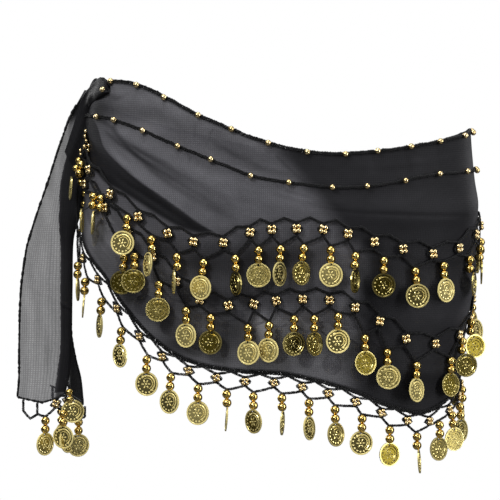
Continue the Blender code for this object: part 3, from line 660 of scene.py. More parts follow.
def tiePlace(tie):
    def place(across, down):
        point, row = tieShape(tie, across, down)
        for wave in tieWaves:
            away = (point.x - wave.x - (point.z - wave.z) / wave.slant) / wave.half
            along = (point.z - wave.z) / tieSizes["waveReach"]
            point.y -= wave.height * math.exp(-away * away - along ** 2)
        point.y -= noise.noise(point / tieSizes["unevenSize"]) * tieSizes["uneven"]
        shade = 1 - tieSizes["doubled"] * smooth(-1.2, 1.6, point.x - row.turned)
        # painted shade at the top of the tie, under the knot
        shade *= 1 - tieSizes["topShade"] * smooth(-8, 6, point.z)
        shade *= 1 + 0.3 * noise.noise(Vector((point.x / 7, point.z / 34, 3)))
        hiding = 1 - tie["passing"] * shade
        if tie is ties["back"]:
            bare = smooth(-3, 1, point.x - tieSizes["coveredBefore"])
            hiding *= tieSizes["covered"] + (1 - tieSizes["covered"]) * bare
        # the tie's painted light follows its shade
        return point * mm, hiding, tieSizes["paintedLight"] * shade, (across * 0.05, point.z * mm)
    return place


def rolledHem(name, place, routes, radius):
    # the narrow rolled edge of a piece of cloth, along routes from one (across, down) to another
    strands, steps = [], 150
    for start, end in routes:
        start, end = Vector(start), Vector(end)
        strands.append([place(*start.lerp(end, i / steps))[0] for i in range(steps + 1)])
    return finishPiece(strandCurve(name, strands, radius * mm), yarnFinish, "yarn")


def makeTie(tie):
    grid = sheetGrid(tie["name"], tieSizes["columns"], tieSizes["levels"], tiePlace(tie))
    return finishPiece(grid, chiffon, "chiffon", tie["node"])


frontTiePiece = makeTie(ties["front"])
backTiePiece = makeTie(ties["back"])

# the turn of cloth that comes over the top of the knot and runs down into the front tie
loopRow = namedtuple("loopRow", "step outerX outerY outerZ innerX innerY innerZ")
loopRows = table(loopRow, [
    (0, -141.6, -56, 22.6, -142.4, -57.6, 19), (1, -144.5, -55, 28.2, -146.2, -55.5, 17.3),
    (2, -147.3, -50, 31.8, -150.8, -49.5, 15.7), (3, -150.1, -45, 33.4, -154.7, -43, 14.5),
    (4, -154.2, -36, 32, -157.9, -35, 12.8), (5, -160.6, -26, 27, -161.5, -28, 9),
    (6, -165.9, -20, 21.9, -160.5, -24, 2), (7, -170.2, -18, 14, -161.5, -22, -8),
    (8, -173.6, -18.5, 3, -163, -21, -20), (9, -178.5, -19, -12, -166, -20, -34),
    (10, -184, -19, -28, -170, -19, -48),
])
# across the loop, its edge curls under up to curlTo and tucks in from tuckFrom
loopSizes = {
    "facing": (-0.45, -0.89, 0), "bulge": 5.0, "ripple": 0.9, "curlTo": 0.16, "curl": 9,
    "curlShift": (0.8, 0, -2.5), "tuckFrom": 0.86, "tuck": 2.2, "tuckShift": (-0.6, 0, 1.2),
    "hiding": 0.99, "paintedLight": 0.03, "foldHighlight": 0.04,
}


def loopPlace(across, down):
    size, row = loopSizes, blendRows(loopRows, down * 10)
    outer = Vector((row.outerX, row.outerY, row.outerZ))
    inner = Vector((row.innerX, row.innerY, row.innerZ))
    facing = Vector(size["facing"])
    t = min(max((across - size["curlTo"]) / 0.7, 0), 1)
    point = outer.lerp(inner, t)
    roundness = math.sqrt(max(1 - (2 * t - 1) ** 2, 0))
    point += facing * size["bulge"] * (0.35 + 0.65 * roundness) * (1 - 0.6 * down)
    point += facing * size["ripple"] * math.sin(9 * t + 5 * down)
    if across < size["curlTo"]:
        share = 1 - across / size["curlTo"]
        point += (Vector(size["curlShift"]) - facing * size["curl"]) * share
    if across > size["tuckFrom"]:
        share = (across - size["tuckFrom"]) / (1 - size["tuckFrom"])
        point += (Vector(size["tuckShift"]) - facing * size["tuck"]) * share
    # a painted highlight along the loop's fold, on a low, even painted light
    fold = math.exp(-((t - 1) / 0.08) ** 2) * smooth(0.05, 0.3, down) * smooth(1, 0.7, down)
    return point * mm, size["hiding"], size["paintedLight"] + size["foldHighlight"] * fold, (across * 0.03, -down * 0.05)


loopPiece = finishPiece(sheetGrid("tie_loop", 36, 90, loopPlace), chiffon, "chiffon")

# the knot itself, with the cloth wrapped round it
knotSizes = {"centre": (-158.5, 2.8, 18), "half": (6.4, 9.4, 18.3), "turns": 3, "ridge": 0.13, "slant": 1.6,
             "fineTurns": 8, "fineRidge": 0.05, "fineSlant": 0.7, "hiding": 0.99, "paintedLight": 0.04}


def makeKnot():
    bpy.ops.mesh.primitive_uv_sphere_add(segments=56, ring_count=40, radius=1)
    piece = bpy.context.object
    piece.name = piece.data.name = "knot_wraps"
    size = knotSizes
    for vertex in piece.data.vertices:
        turn, height = math.atan2(vertex.co.y, vertex.co.x), vertex.co.z
        ridge = size["ridge"] * math.cos(size["turns"] * (turn + size["slant"] * height))
        ridge += size["fineRidge"] * math.cos(size["fineTurns"] * (turn + size["fineSlant"] * height))
        swell = 1 + ridge * (1 - height ** 2)
        spot = Vector((vertex.co.x * swell, vertex.co.y * swell, height)) * Vector(size["half"])
        vertex.co = (spot + Vector(size["centre"])) * mm
    # a low, even painted light on the knot
    for name in ("hiding", "paintedLight"):
        paint(piece, name, [size[name]] * len(piece.data.vertices))
    for corner in piece.data.uv_layers[0].data:
        corner.uv = (corner.uv.x * 0.05, corner.uv.y * 0.04)
    piece.select_set(False)
    return finishPiece(piece, chiffon, "chiffon", "knot")


knotPiece = makeKnot()


# yarn
yarnUneven = 0.7


def strandCurve(name, strands, radius):
    curve = bpy.data.curves.new(name, "CURVE")
    curve.dimensions = "3D"
    curve.bevel_depth = radius
    curve.bevel_resolution = 0
    curve.use_fill_caps = True
    for points in strands:
        spline = curve.splines.new("POLY")
        spline.points.add(len(points) - 1)
        for point, place in zip(spline.points, points):
            point.co = (*place, 1)
            point.radius = 1 + yarnUneven * noise.noise(place * 700)
    piece = bpy.data.objects.new(name, curve)
    bpy.context.scene.collection.objects.link(piece)
    bpy.context.view_layer.objects.active = piece
    piece.select_set(True)
    bpy.ops.object.convert(target="MESH")
    piece = bpy.context.object
    piece.select_set(False)
    return piece


def plait(points, normals, half, pitch):
    # three strands that cross as in a crocheted chain
    travelled, strands = 0.0, [[], [], []]
    for i, (point, normal) in enumerate(zip(points, normals)):
        ahead = points[min(i + 1, len(points) - 1)] - points[max(i - 1, 0)]
        along = ahead.normalized() if ahead.length > 1e-9 else up
        side = along.cross(normal).normalized()
        if i:
            travelled += (point - points[i - 1]).length
        for k, strand in enumerate(strands):
            turn = math.tau * (travelled / pitch + k / 3)
            strand.append(point + side * half * math.sin(turn) + normal * half * 0.6 * math.sin(2 * turn))
    return strands


# step is in degrees; out is how far off the cloth a yarn lies, and half and radius are how wide its
# plait and its strands are
edging = {"step": 0.28, "wobbleSize": 7, "wobble": 0.55, "outWobble": 0.4, "pitch": 6.4}
edgings = {
    "top_edging": {"node": "edge_yarn", "line": "top", "ends": (-83, 259), "rise": 1.1, "out": -0.3,
                   "half": 1.1, "radius": 0.72, "seed": 3},
    "beaded_line": {"node": "bead_line_yarn", "line": "bead", "ends": (-84, 261), "rise": 0, "out": 0.9,
                    "half": 0.95, "radius": 0.6, "seed": 4},
    "hem_edging": {"node": "hem_yarn", "line": "hem", "ends": (-85.5, 261), "rise": -1.1, "out": -0.2,
                   "half": 1.3, "radius": 0.8, "seed": 3},
}


def edgeYarn(name):
    size, points, normals = edgings[name], [], []
    line, (start, end) = size["line"], size["ends"]
    steps = int((end - start) / edging["step"])
    for i in range(steps + 1):
        angle = start + (end - start) * i / steps
        here = Vector((arcAt(angle) / edging["wobbleSize"], 0, size["seed"]))
        z = lineHeight(line, angle) + (size["rise"] + noise.noise(here) * edging["wobble"]) * mm
        out = size["out"] + edging["outWobble"] * noise.noise(here * 1.7)
        points.append(clothPoint(angle, z, out * mm))
        normals.append(hipFrame(angle, z)[1])
    strands = plait(points, normals, size["half"] * mm, edging["pitch"] * mm)
    return finishPiece(strandCurve(name, strands, size["radius"] * mm), yarnFinish, "yarn", size["node"])


topYarn = edgeYarn("top_edging")
edgeYarn("beaded_line")
edgeYarn("hem_edging")
print("edgings made")

# the front tie is hemmed down both sides and across its end; the back one where it shows
fold = tieSizes["foldAt"]
rolledHem("front_tie_hems", tiePlace(ties["front"]),
          [((0, 0.03), (0, 1)), ((0, 1), (fold, 1)), ((1, 0.1), (1, 1))], 1.0)
rolledHem("back_tie_hems", tiePlace(ties["back"]), [((0, 1), (fold, 1)), ((fold, 0.1), (fold, 1))], 0.85)
rolledHem("loop_hems", loopPlace, [((0.12, 0), (0.12, 1)), ((0.9, 0), (0.9, 1))], 0.6)
print("hems made")


# coins and beads, in millimetres; each of a coin's arcs is its centre's x and z, its radius, half its width
# and its height
coinSizes = {
    "radius": 10, "thick": 1.1, "sides": 24, "rim": 1.0, "slope": 0.35, "sunk": 0.40, "margin": 0.2,
    "hole": 0.85, "holeHeight": 8.0,
    "arcs": [(0.6, 0.3, 6.5, 0.85, 0.8), (0.7, 0.3, 4.5, 0.5, 0.7)], "arcCut": 0.15,
    "dots": 9, "dotRing": 7.2, "dotSize": 1.0, "dotProud": 0.70, "dotsFrom": 118, "dotsApart": 24,
    "bud": (-0.6, -0.2, 1.1, 0.8, 1.1), "petals": 6, "petalRing": 2.7, "petal": (1.5, 0.72, 0.8),
}
toFront = (math.pi / 2, 0, 0)  # lays a disc or a ring so that it faces the front


def selectFaces(piece, wanted):
    bpy.ops.object.mode_set(mode="EDIT")
    bpy.ops.mesh.select_mode(type="FACE")
    bpy.ops.mesh.select_all(action="DESELECT")
    bpy.ops.object.mode_set(mode="OBJECT")
    for face in piece.data.polygons:
        face.select = wanted(face)
    bpy.ops.object.mode_set(mode="EDIT")


def makeBead(name, radius, segments, rings):
    bpy.ops.mesh.primitive_uv_sphere_add(segments=segments, ring_count=rings, radius=radius * mm)
    piece = bpy.context.object
    piece.name = name
    for face in piece.data.polygons:
        face.use_smooth = True
    piece.select_set(False)
    return piece


def reliefBall(x, z, wide, proud, tall, turn=0.0):
    bpy.ops.mesh.primitive_ico_sphere_add(subdivisions=1, radius=1)
    piece = bpy.context.object
    spin = Matrix.Rotation(turn, 4, "Y") @ Matrix.Diagonal((wide * mm, proud * mm, tall * mm, 1))
    piece.data.transform(Matrix.Translation((x * mm, 0, z * mm)) @ spin)
    return piece


def reliefArc(x, z, major, minor, proud):
    # a ring with its upper left cut away and the two ends closed
    bpy.ops.mesh.primitive_torus_add(major_segments=16, minor_segments=4, major_radius=major * mm,
                                     minor_radius=minor * mm, rotation=toFront)
    piece = bpy.context.object
    bpy.ops.object.transform_apply(rotation=True)
    limit = -coinSizes["arcCut"] * major * mm
    selectFaces(piece, lambda face: face.center.x + 0.5 * face.center.z < limit)
    bpy.ops.mesh.delete(type="FACE")
    bpy.ops.mesh.select_all(action="SELECT")
    bpy.ops.mesh.fill_holes(sides=4)
    bpy.ops.object.mode_set(mode="OBJECT")
    piece.data.transform(Matrix.Translation((x * mm, 0, z * mm)) @ Matrix.Diagonal((1, proud / minor, 1, 1)))
    return piece


def coinDisc(size):
    bpy.ops.mesh.primitive_cylinder_add(vertices=size["sides"], radius=size["radius"] * mm,
                                        depth=size["thick"] * mm, rotation=toFront)
    disc = bpy.context.object
    disc.name = "coin"
    bpy.ops.object.transform_apply(rotation=True)
    selectFaces(disc, lambda face: abs(face.normal.y) > 0.9)
    bpy.ops.mesh.inset(thickness=size["rim"] * mm)
    bpy.ops.mesh.inset(thickness=size["slope"] * mm)
    bpy.ops.transform.resize(value=(1, size["sunk"], 1))
    bpy.ops.object.mode_set(mode="OBJECT")
    bpy.ops.mesh.primitive_cylinder_add(vertices=8, radius=size["hole"] * mm, depth=4 * mm,
                                        location=(0, 0, size["holeHeight"] * mm), rotation=toFront)
    drill = bpy.context.object
    cut = disc.modifiers.new("hole", "BOOLEAN")
    cut.object = drill
    bpy.context.view_layer.objects.active = disc
    bpy.ops.object.modifier_apply(modifier=cut.name)
    bpy.data.objects.remove(drill)
    return disc


def makeCoin():
    size = coinSizes
    disc = coinDisc(size)
    relief = [reliefArc(*arc) for arc in size["arcs"]]
    for i in range(size["dots"]):
        turn = math.radians(size["dotsFrom"] + size["dotsApart"] * i)
        x, z = size["dotRing"] * math.cos(turn), size["dotRing"] * math.sin(turn)
        relief.append(reliefBall(x, z, size["dotSize"], size["dotProud"], size["dotSize"]))
    relief.append(reliefBall(*size["bud"]))
    for i in range(size["petals"]):
        turn = math.tau * i / size["petals"]
        x = size["petalRing"] * math.cos(turn) + size["bud"][0]
        z = size["petalRing"] * math.sin(turn) + size["bud"][1]
        relief.append(reliefBall(x, z, *size["petal"], -turn))
    bpy.ops.object.select_all(action="DESELECT")
    # the relief and the rim are raised, and the field within the rim is not
    field = size["radius"] - size["rim"] - size["margin"]
    for piece in relief + [disc]:
        sunk = field if piece is disc else 0
        away = [math.hypot(vertex.co.x, vertex.co.z) / mm for vertex in piece.data.vertices]
        paint(piece, "raised", [0.0 if far < sunk else 1.0 for far in away])
        piece.select_set(True)
    bpy.context.view_layer.objects.active = disc
    bpy.ops.object.join()
    bpy.ops.object.select_all(action="DESELECT")
    return disc


# each bead has its name, its radius in millimetres and how many facets it has round and down
masters = {
    "coin": makeCoin(),
    "big": makeBead("big_bead", 3.8, 12, 9),
    "petal": makeBead("petal_bead", 2.15, 10, 6),
    "edge": makeBead("edge_bead", 2.6, 10, 7),
    "seed": makeBead("seed_bead", 2.05, 9, 6),
}
for master in masters.values():
    master.hide_render = True
print("bead and coin made")


def scatter(name, kind, finish, placements):
    # placements are (matrix, tone) pairs; each copy has a mesh of its own before they are joined
    made = []
    for matrix, tone in placements:
        mesh = masters[kind].data.copy()
        mesh.transform(matrix)
        made.append(bpy.data.objects.new(name, mesh))
        paint(made[-1], "tone", [tone] * len(mesh.vertices))
        bpy.context.scene.collection.objects.link(made[-1])
    bpy.ops.object.select_all(action="DESELECT")
    for piece in made:
        piece.select_set(True)
    bpy.context.view_layer.objects.active = made[0]
    bpy.ops.object.join()
    piece = bpy.context.object
    piece.name = piece.data.name = name
    piece.select_set(False)
    piece.data.materials.clear()
    piece.data.materials.append(finish)
    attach(piece, "root")


# each repeat, from the knot on: the angle of its flower, then of the coin after it the shift to one side,
# the turn, how far it is caught up (a minus hangs lower), how bright it is, which is painted light for how
# much the coin catches the light, and how far it swings; where a row gives no brightness or swing, that
# is drawn
coinRow = namedtuple("coinRow", "angle shift turn hitch tone swing", defaults=(0, None, None))
# "below" is the row that a row hangs over, and "far" the angles between which its far side has coins
hipRows = {
    "upper": {
        "below": "middle", "scale": 1.0, "sewn": 0, "rise": 0, "dullness": 1.0, "far": (82.0, 242.0),
        "firstFarTone": 0.0,
        "near": table(coinRow, [
            (-80, 0, 8, 14, 0.2), (-65.5, 0, 48, 2, 0.2), (-50.6, 5.5, -16, 9, 0.85, -0.8),
            (-39.8, 0.5, 50, 5, 0.4, 1.4), (-31, -2, 66, 0, 0.25, 1.3), (-23.9, -4, 20, 0, 1.0, -1.9),
            (-15.8, -2, 55, 0, 0.0, 1), (-8.6, -2, -2, 0, 0.3, 0), (-2.6, -3, -55, 0, 0.4, -1),
            (4.2, -5, -42, 0, 0.1, -2.6), (11.5, -4, -11, 0, 1.0, 0), (18.3, -4.5, -54, 0, 0.0, -1.9),
            (25.6, -4, -2, 3, 0.0, -1.1), (34, -3, 8, 0, 0.35, 0.4), (44.2, -4, -13, 6, 1.0, 0),
            (55.7, -1, -20, 0, 0.0, 1), (69, 0, -6, 0, 0.0),
        ]),
    },
    "middle": {
        "below": "hem", "scale": 1.0, "sewn": 0, "rise": 0, "dullness": 0.9, "far": (106.8, 244.0),
        "firstFarTone": None,
        "near": table(coinRow, [
            (-70, 13, 50, 20, 0.3), (-53.6, 11, -20, -5, 0.0), (-43.6, -3, -24, 4, 0.0),
            (-35.8, -3, -18, 0, 0.15), (-28.8, -1, 25, 0, 1.0), (-22.5, -3, 9, 4, 0.0),
            (-14.8, 5, 25, -3, 1.0), (-7.8, 3, 36, -3, 1.0), (-1.4, 4, -23, 0, 0.15),
            (6, -1, -41, 0, 0.1), (13.6, -3, -10, 4, 0.8), (21, 0, -12, -4, 0.0),
            (28.6, -3, 18, -4, 0.4), (37.7, -3, -21, -2, 1.0), (49.4, 5, 14, -3, 0.0),
            (63.6, -8, 45, 9, 0.1), (77, -14, 50, 16, 0.0), (90, 0, 44, 2, 0.6), (98.4, 0, 42, 0, 0.3),
        ]),
    },
    "hem": {
        "below": None, "scale": 0.65, "sewn": 3.0, "rise": 1.5, "dullness": 0.55, "far": (88.0, 238.0),
        "firstFarTone": None,
        "near": table(coinRow, [
            (-80, -3, 10, -7, 0.3), (-70.5, -3, 26, -2, 0.3), (-59, -3, 27, 0, 0.3),
            (-50, -4, 18, 0, 0.7), (-42.4, -2, -8, 0, 0.8), (-35.4, -3, 16, 0, 0.8),
            (-27.5, -3, 13, 0, 1.0), (-19.3, -3, 78, 0, 0.3), (-10.8, -5, 42, 0, 0.35),
            (-2.1, -5, -80, 0, 0.3), (6.4, -5, -58, 0, 0.45), (14.4, -6, -43, 0, 0.3),
            (23, -6, -10, 0, 0.5), (31.6, -5, -7, 0, 0.0), (41.2, -3, -53, 0, 0.3),
            (51.1, -3, 8, 5, 0.25), (63.9, -9, 26, 6, 0.3), (76, -12, 26, 4),
        ]),
    },
}
# the far coins are evenly spaced, in millimetres, and take every fifth of these turns
farCoins = {"pitch": 24, "turns": [12, -40, 66, -8, 30, 5, 22, 52, -18, -70, -58, 38], "stride": 5}
# the crocheted net and its flowers, in millimetres; petalTurn is in radians, and lean and smallPetal are
# shares
net = {
    "clear": 1.0, "thick": 1.4, "flowerTop": 4.0, "flowerFoot": 14.5, "flowerHalf": 4.4, "root": 22.0,
    "lean": 0.1, "leanStep": 2.0, "overlay": 2.0, "close": 34, "ease": 6, "sag": 0.3, "arch": 0.25,
    "sample": 0.8, "half": 0.82, "radius": 0.46, "pitch": 4.8, "petalReach": 2.5, "petalOut": 1.9,
    "petalTurn": 0.26, "smallPetal": 0.86,
}
flowerMiddle = (net["flowerTop"] + net["flowerFoot"]) / 2
# what hangs from the net, in millimetres; drops are measured down from the place where it is tied on
hang = {
    "beadDrops": (3.6, 10.8), "beadHalf": 2.7, "beadTwists": (0.3, 1.0), "coinDrop": 23.6, "coinHalf": 0.7,
    "coinReach": 9.24, "coinFlat": 3.83, "gap": 0.8, "netReach": 2.4, "beadReach": 9.2, "beadClose": 42,
    "coinClose": 44, "threadRadius": 0.32, "threadOut": 0.7, "swingScale": 0.86, "swing": 0.9,
    "tiltBySwing": 0.03,
}


class hipFringe:
    def __init__(self, name):
        size, turns = hipRows[name], farCoins["turns"]
        self.name, self.below, self.bare = name, size["below"], ()
        self.sewn, self.scale, self.rise = size["sewn"] * mm, size["scale"], size["rise"]
        self.repeats = list(size["near"])
        (angle, end), i = size["far"], 0
        while angle < end:
            turn = turns[(farCoins["stride"] * i) % len(turns)]
            self.repeats.append(coinRow(angle, 0, turn, tone=None if i else size["firstFarTone"]))
            angle, i = slide(angle, lineHeight(name, angle), farCoins["pitch"] * mm), i + 1

    def height(self, angle):
        return lineHeight(self.name, angle) - self.sewn

    def spot(self, angle, distance, drop):
        # the angle and height of a place in the net, which leans downhill
        drop *= self.scale * mm
        z, step = self.height(angle), net["leanStep"] * mm
        there = slide(angle, z, distance * mm)
        slope = (self.height(slide(there, z, step)) - self.height(slide(there, z, -step))) / (2 * step)
        return Vector((slide(there, z, slope * drop * net["lean"]), self.height(there) - drop, there))

    def apart(self, angle):
        # how far this row's line lies above that of the row below, in millimetres
        return (lineHeight(self.name, angle) - lineHeight(self.below, angle)) / mm

    def overlay(self, angle):
        if self.below is None:
            return 0.0
        return net["overlay"] * mm * min(max((net["close"] - self.apart(angle)) / net["ease"], 0), 1)

    def place(self, spot, out):
        return clothPoint(spot.x, spot.y, net["clear"] * mm + self.overlay(spot.z) + out * mm)

    def normal(self, spot):
        return hipFrame(spot.x, spot.y)[1]

    def cover(self, point, reach):
        # the angle is guessed on the form's ellipse at the belt, which is near enough
        belt = hips[1]
        guess = math.degrees(math.atan2(point.x / belt.halfWidth, -point.y / belt.halfDepth))
        guess = guess + 360 if guess < frontEnds[0] - 1 else guess
        normal = hipFrame(guess, point.z)[1]
        return max(clothPoint(slide(guess, point.z, side * reach * mm), point.z).dot(normal)
                   for side in (-1, 0, 1)), normal

    def lift(self, angle, isCoin):
        if self.below is None:
            return 0.0
        if isCoin:
            return hang["beadReach"] if self.apart(angle) < hang["coinClose"] else hang["netReach"]
        return hang["netReach"] if self.apart(angle) < hang["beadClose"] else 0.0


tieEdge = namedtuple("tieEdge", "x y z")
# a tie's coins have X for the angle, and a flower in "bare" is a single strand
tieEnds = {
    "front": {
        "edge": table(tieEdge, [
            (-225, -11, -239), (-210, -10, -244), (-196, -10.5, -239.5), (-184, -11.5, -235),
        ]),
        "coins": table(coinRow, [
            (-220, 0, None), (-208, -1, -48, 0, 0.75), (-192, 2, 24, 0, 0.8), (-183, 0, None),
        ]),
        "bare": (0, 1, 3),
    },
    "back": {
        "edge": table(tieEdge, [
            (-198, 1.5, -229.6), (-190, 2.5, -233.6), (-180, 2.5, -239.6), (-166, 1.5, -248.6),
        ]),
        "coins": table(coinRow, [(-196, 1, 52, 0, 0.8), (-183, 2, -30, 0, 0.7), (-168, 0, None)]),
        "bare": (0, 2),
    },
}
tieNet = {"scale": 0.6, "sewn": 0.3, "clear": 10, "dullness": 0.5}


class tieFringe:
    # the same net along the end of a tie, which hangs flat and faces the front
    def __init__(self, name):
        end = tieEnds[name]
        self.edge, self.repeats, self.bare = end["edge"], end["coins"], end["bare"]
        self.scale, self.rise = tieNet["scale"], 0

    def spot(self, x, distance, drop):
        row = blendRows(self.edge, x + distance)
        return Vector((x + distance, (row.z - drop * self.scale - tieNet["sewn"]) * mm, row.y))

    def place(self, spot, out):
        return Vector((spot.x * mm, (blendRows(self.edge, spot.x).y - out) * mm, spot.y))

    def normal(self, spot):
        return Vector((0, -1, 0))

    def cover(self, point, reach):
        return -point.y - tieNet["clear"] * mm, Vector((0, -1, 0))

    def lift(self, x, isCoin):
        return 0.0


def chain(row, spots, sag):
    # samples a strand of net through its spots, hanging a little between each two
    points, normals, out = [], [], net["thick"] / 2
    for start, end in zip(spots, spots[1:]):
        length = (row.place(end, out) - row.place(start, out)).length
        steps = max(int(length / (net["sample"] * mm)), 3)
        for i in range(steps + (end is spots[-1])):
            t = i / steps
            here = start.lerp(end, t)
            here.y -= sag * mm * 4 * t * (1 - t)
            points.append(row.place(here, out + net["arch"] * math.sin(math.pi * t)))
            normals.append(row.normal(here))
    return points, normals


def flowerPetals(row, angle, dullness):
    centre = row.spot(angle, 0, flowerMiddle)
    normal = row.normal(centre)
    tangent = Vector((-normal.y, normal.x, 0))
    turn = draws.uniform(-net["petalTurn"], net["petalTurn"])
    size = net["smallPetal"] if row.scale < 1 else 1.0
    petals = []
    for k in range(4):
        way = turn + (k + 0.5) * math.pi / 2
        reach = net["petalReach"] * size * draws.uniform(0.92, 1.1) * mm
        spot = row.place(centre, net["petalOut"] + draws.uniform(-0.2, 0.3))
        spot += (tangent * math.cos(way) + up * math.sin(way)) * reach
        petals.append((Matrix.Translation(spot) @ Matrix.Scale(size, 4), draws.random() * dullness))
    return petals


def clearOut(row, spot, reach, need):
    # how far out a bead or coin has to hang to clear the cloth and what lies on it, and which way is out
    cover, normal = row.cover(spot, reach)
    return max(spot.dot(normal), cover + (need + hang["gap"]) * mm), normal


def hangCoin(row, repeat, start, middle, dullness):
    # two large beads and a coin on a doubled thread
    turn = math.radians(repeat.turn + draws.uniform(-5, 5))
    spots = []
    for drop, twist in zip(hang["beadDrops"], hang["beadTwists"]):
        spot = start - up * drop * mm
        turned = math.radians(repeat.turn) * twist
        need = hang["beadHalf"] * (abs(math.sin(turned)) + abs(math.cos(turned)))
        out, normal = clearOut(row, spot, hang["beadHalf"], need + row.lift(middle, False))
        spots.append(spot + normal * (out - spot.dot(normal)))
    outs, reach, flat = [], hang["coinReach"], hang["coinFlat"]
    for drop, wide in ((-reach, flat), (-flat, reach), (flat, reach), (reach, flat)):
        spot = start - up * (hang["coinDrop"] + drop) * mm
        need = wide * abs(math.sin(turn)) + hang["coinHalf"] * abs(math.cos(turn))
        outs.append(clearOut(row, spot, wide, need + row.lift(middle, True))[0])
    normal = row.cover(start, 0)[1]
    tangent = Vector((-normal.y, normal.x, 0))
    centre = start - up * hang["coinDrop"] * mm
    if repeat.swing is None:
        swing = draws.uniform(-hang["swing"], hang["swing"])
    else:
        swing = repeat.swing * hang["swingScale"]
    centre += normal * (max(outs) - centre.dot(normal)) + tangent * swing * mm
    tilt = math.radians(draws.uniform(-7, 7)) + swing * hang["tiltBySwing"]
    nod = math.radians(draws.uniform(-5, 3))
    away = normal * math.cos(turn) - tangent * math.sin(turn)
    wide = tangent * math.cos(turn) + normal * math.sin(turn)
    basis = Matrix((wide, -away, up)).transposed().to_4x4()
    matrix = Matrix.Translation(centre) @ basis @ Matrix.Rotation(tilt, 4, "Y")
    matrix = matrix @ Matrix.Rotation(nod, 4, "X")
    tone = draws.random() * dullness if repeat.tone is None else repeat.tone
    hole = matrix @ Vector((0, 0, coinSizes["holeHeight"] * mm))
    spots[1] += tangent * swing * 0.5 * mm
    beads = []
    for spot in spots:
        roll = Matrix.Rotation(draws.uniform(0, math.pi), 4, "Z")
        beads.append((Matrix.Translation(spot) @ roll, draws.random() * dullness))
    threads = [[start, *spots, hole + away * side * hang["threadOut"] * mm, hole - up * 0.5 * mm]
               for side in (-1, 1)]
    return (matrix, tone), beads, threads


def makeFringe(name, row, node, dullness):
    strands, threads, petals, beads, coins, flowers = [], [], [], [], [], []
    for i, repeat in enumerate(row.repeats):
        angle, half = repeat.angle, net["flowerHalf"]
        flower = [row.spot(angle, 0, net["flowerTop"]), row.spot(angle, -half, flowerMiddle),
                  row.spot(angle, half, flowerMiddle), row.spot(angle, 0, net["flowerFoot"])]
        flowers.append(flower)
        if i in row.bare:
            strands.append(chain(row, [row.spot(angle, 0, -1), flower[3]], 0))
            continue
        petals += flowerPetals(row, angle, dullness)
        strands += [chain(row, [flower[0], flower[side], flower[3]], 0) for side in (1, 2)]
    for i, (before, after) in enumerate(zip(flowers, flowers[1:])):
        repeat, middle = row.repeats[i], (row.repeats[i].angle + row.repeats[i + 1].angle) / 2
        root = row.spot(middle, repeat.shift, net["root"] - repeat.hitch / row.scale)
        if i not in row.bare:
            strands.append(chain(row, [before[0], row.spot(middle, 0, -row.rise), after[0]], net["sag"]))
        strands.append(chain(row, [before[3], root, after[3]], net["sag"]))
        if repeat.turn is not None:
            start = row.place(root, net["thick"] / 2)
            coin, pair, hung = hangCoin(row, repeat, start, middle, dullness)
            coins.append(coin)
            beads += pair
            threads += hung
    plaits = [strand for points, normals in strands
              for strand in plait(points, normals, net["half"] * mm, net["pitch"] * mm)]
    finishPiece(strandCurve(name + "_net", plaits, net["radius"] * mm), yarnFinish, "yarn", node)
    finishPiece(strandCurve(name + "_threads", threads, hang["threadRadius"] * mm), yarnFinish, "yarn")
    scatter(name + "_flowers", "petal", paleGold, petals)
    scatter(name + "_beads", "big", beadGold, beads)
    scatter(name + "_coins", "coin", coinGold, coins)
    print(name, "made")


for name, size in hipRows.items():
    makeFringe(name + "_row", hipFringe(name), "fringe_" + name, size["dullness"])
for name in tieEnds:
    makeFringe(name + "_tie_row", tieFringe(name), "fringe_tie_" + name, tieNet["dullness"])

# small beads along the edges
edgeBeading = {
    "top": {"near": [-56.3, -44.0, -34.1, -23.5, -14.0, -3.7, 7.3, 18.0, 27.2, 37.6, 48.9, 64.2],
            "far": (78, 256), "rise": 0.9, "out": 2.4},
    "bead": {"near": [-61.8, -52.0, -40.4, -29.2, -19.6, -8.5, 2.1, 14.0, 23.6, 35.0, 47.2, 62.9],
             "far": (77, 246), "rise": 0.0, "out": 3.2},
}
beadSpacing = {"gap": 26, "uneven": 0.4}


def alongBack(line, start, end):
    angles, angle = [], start
    while angle < end:
        angles.append(angle)
        angle = slide(angle, lineHeight(line, angle), beadSpacing["gap"] * mm)
    return angles


def edgeBeads(name, line):
    # on the near side each bead has its own angle, and on the far side they are evenly spaced
    row, uneven, placements = edgeBeading[line], beadSpacing["uneven"], []
    for angle in row["near"] + alongBack(line, *row["far"]):
        z = lineHeight(line, angle) + (row["rise"] + draws.uniform(-uneven, uneven)) * mm
        placements.append((Matrix.Translation(clothPoint(angle, z, row["out"] * mm)), draws.random()))
    scatter(name, "edge", paleGold, placements)


edgeBeads("top_beads", "top")
edgeBeads("line_beads", "bead")
print("edge beads made")

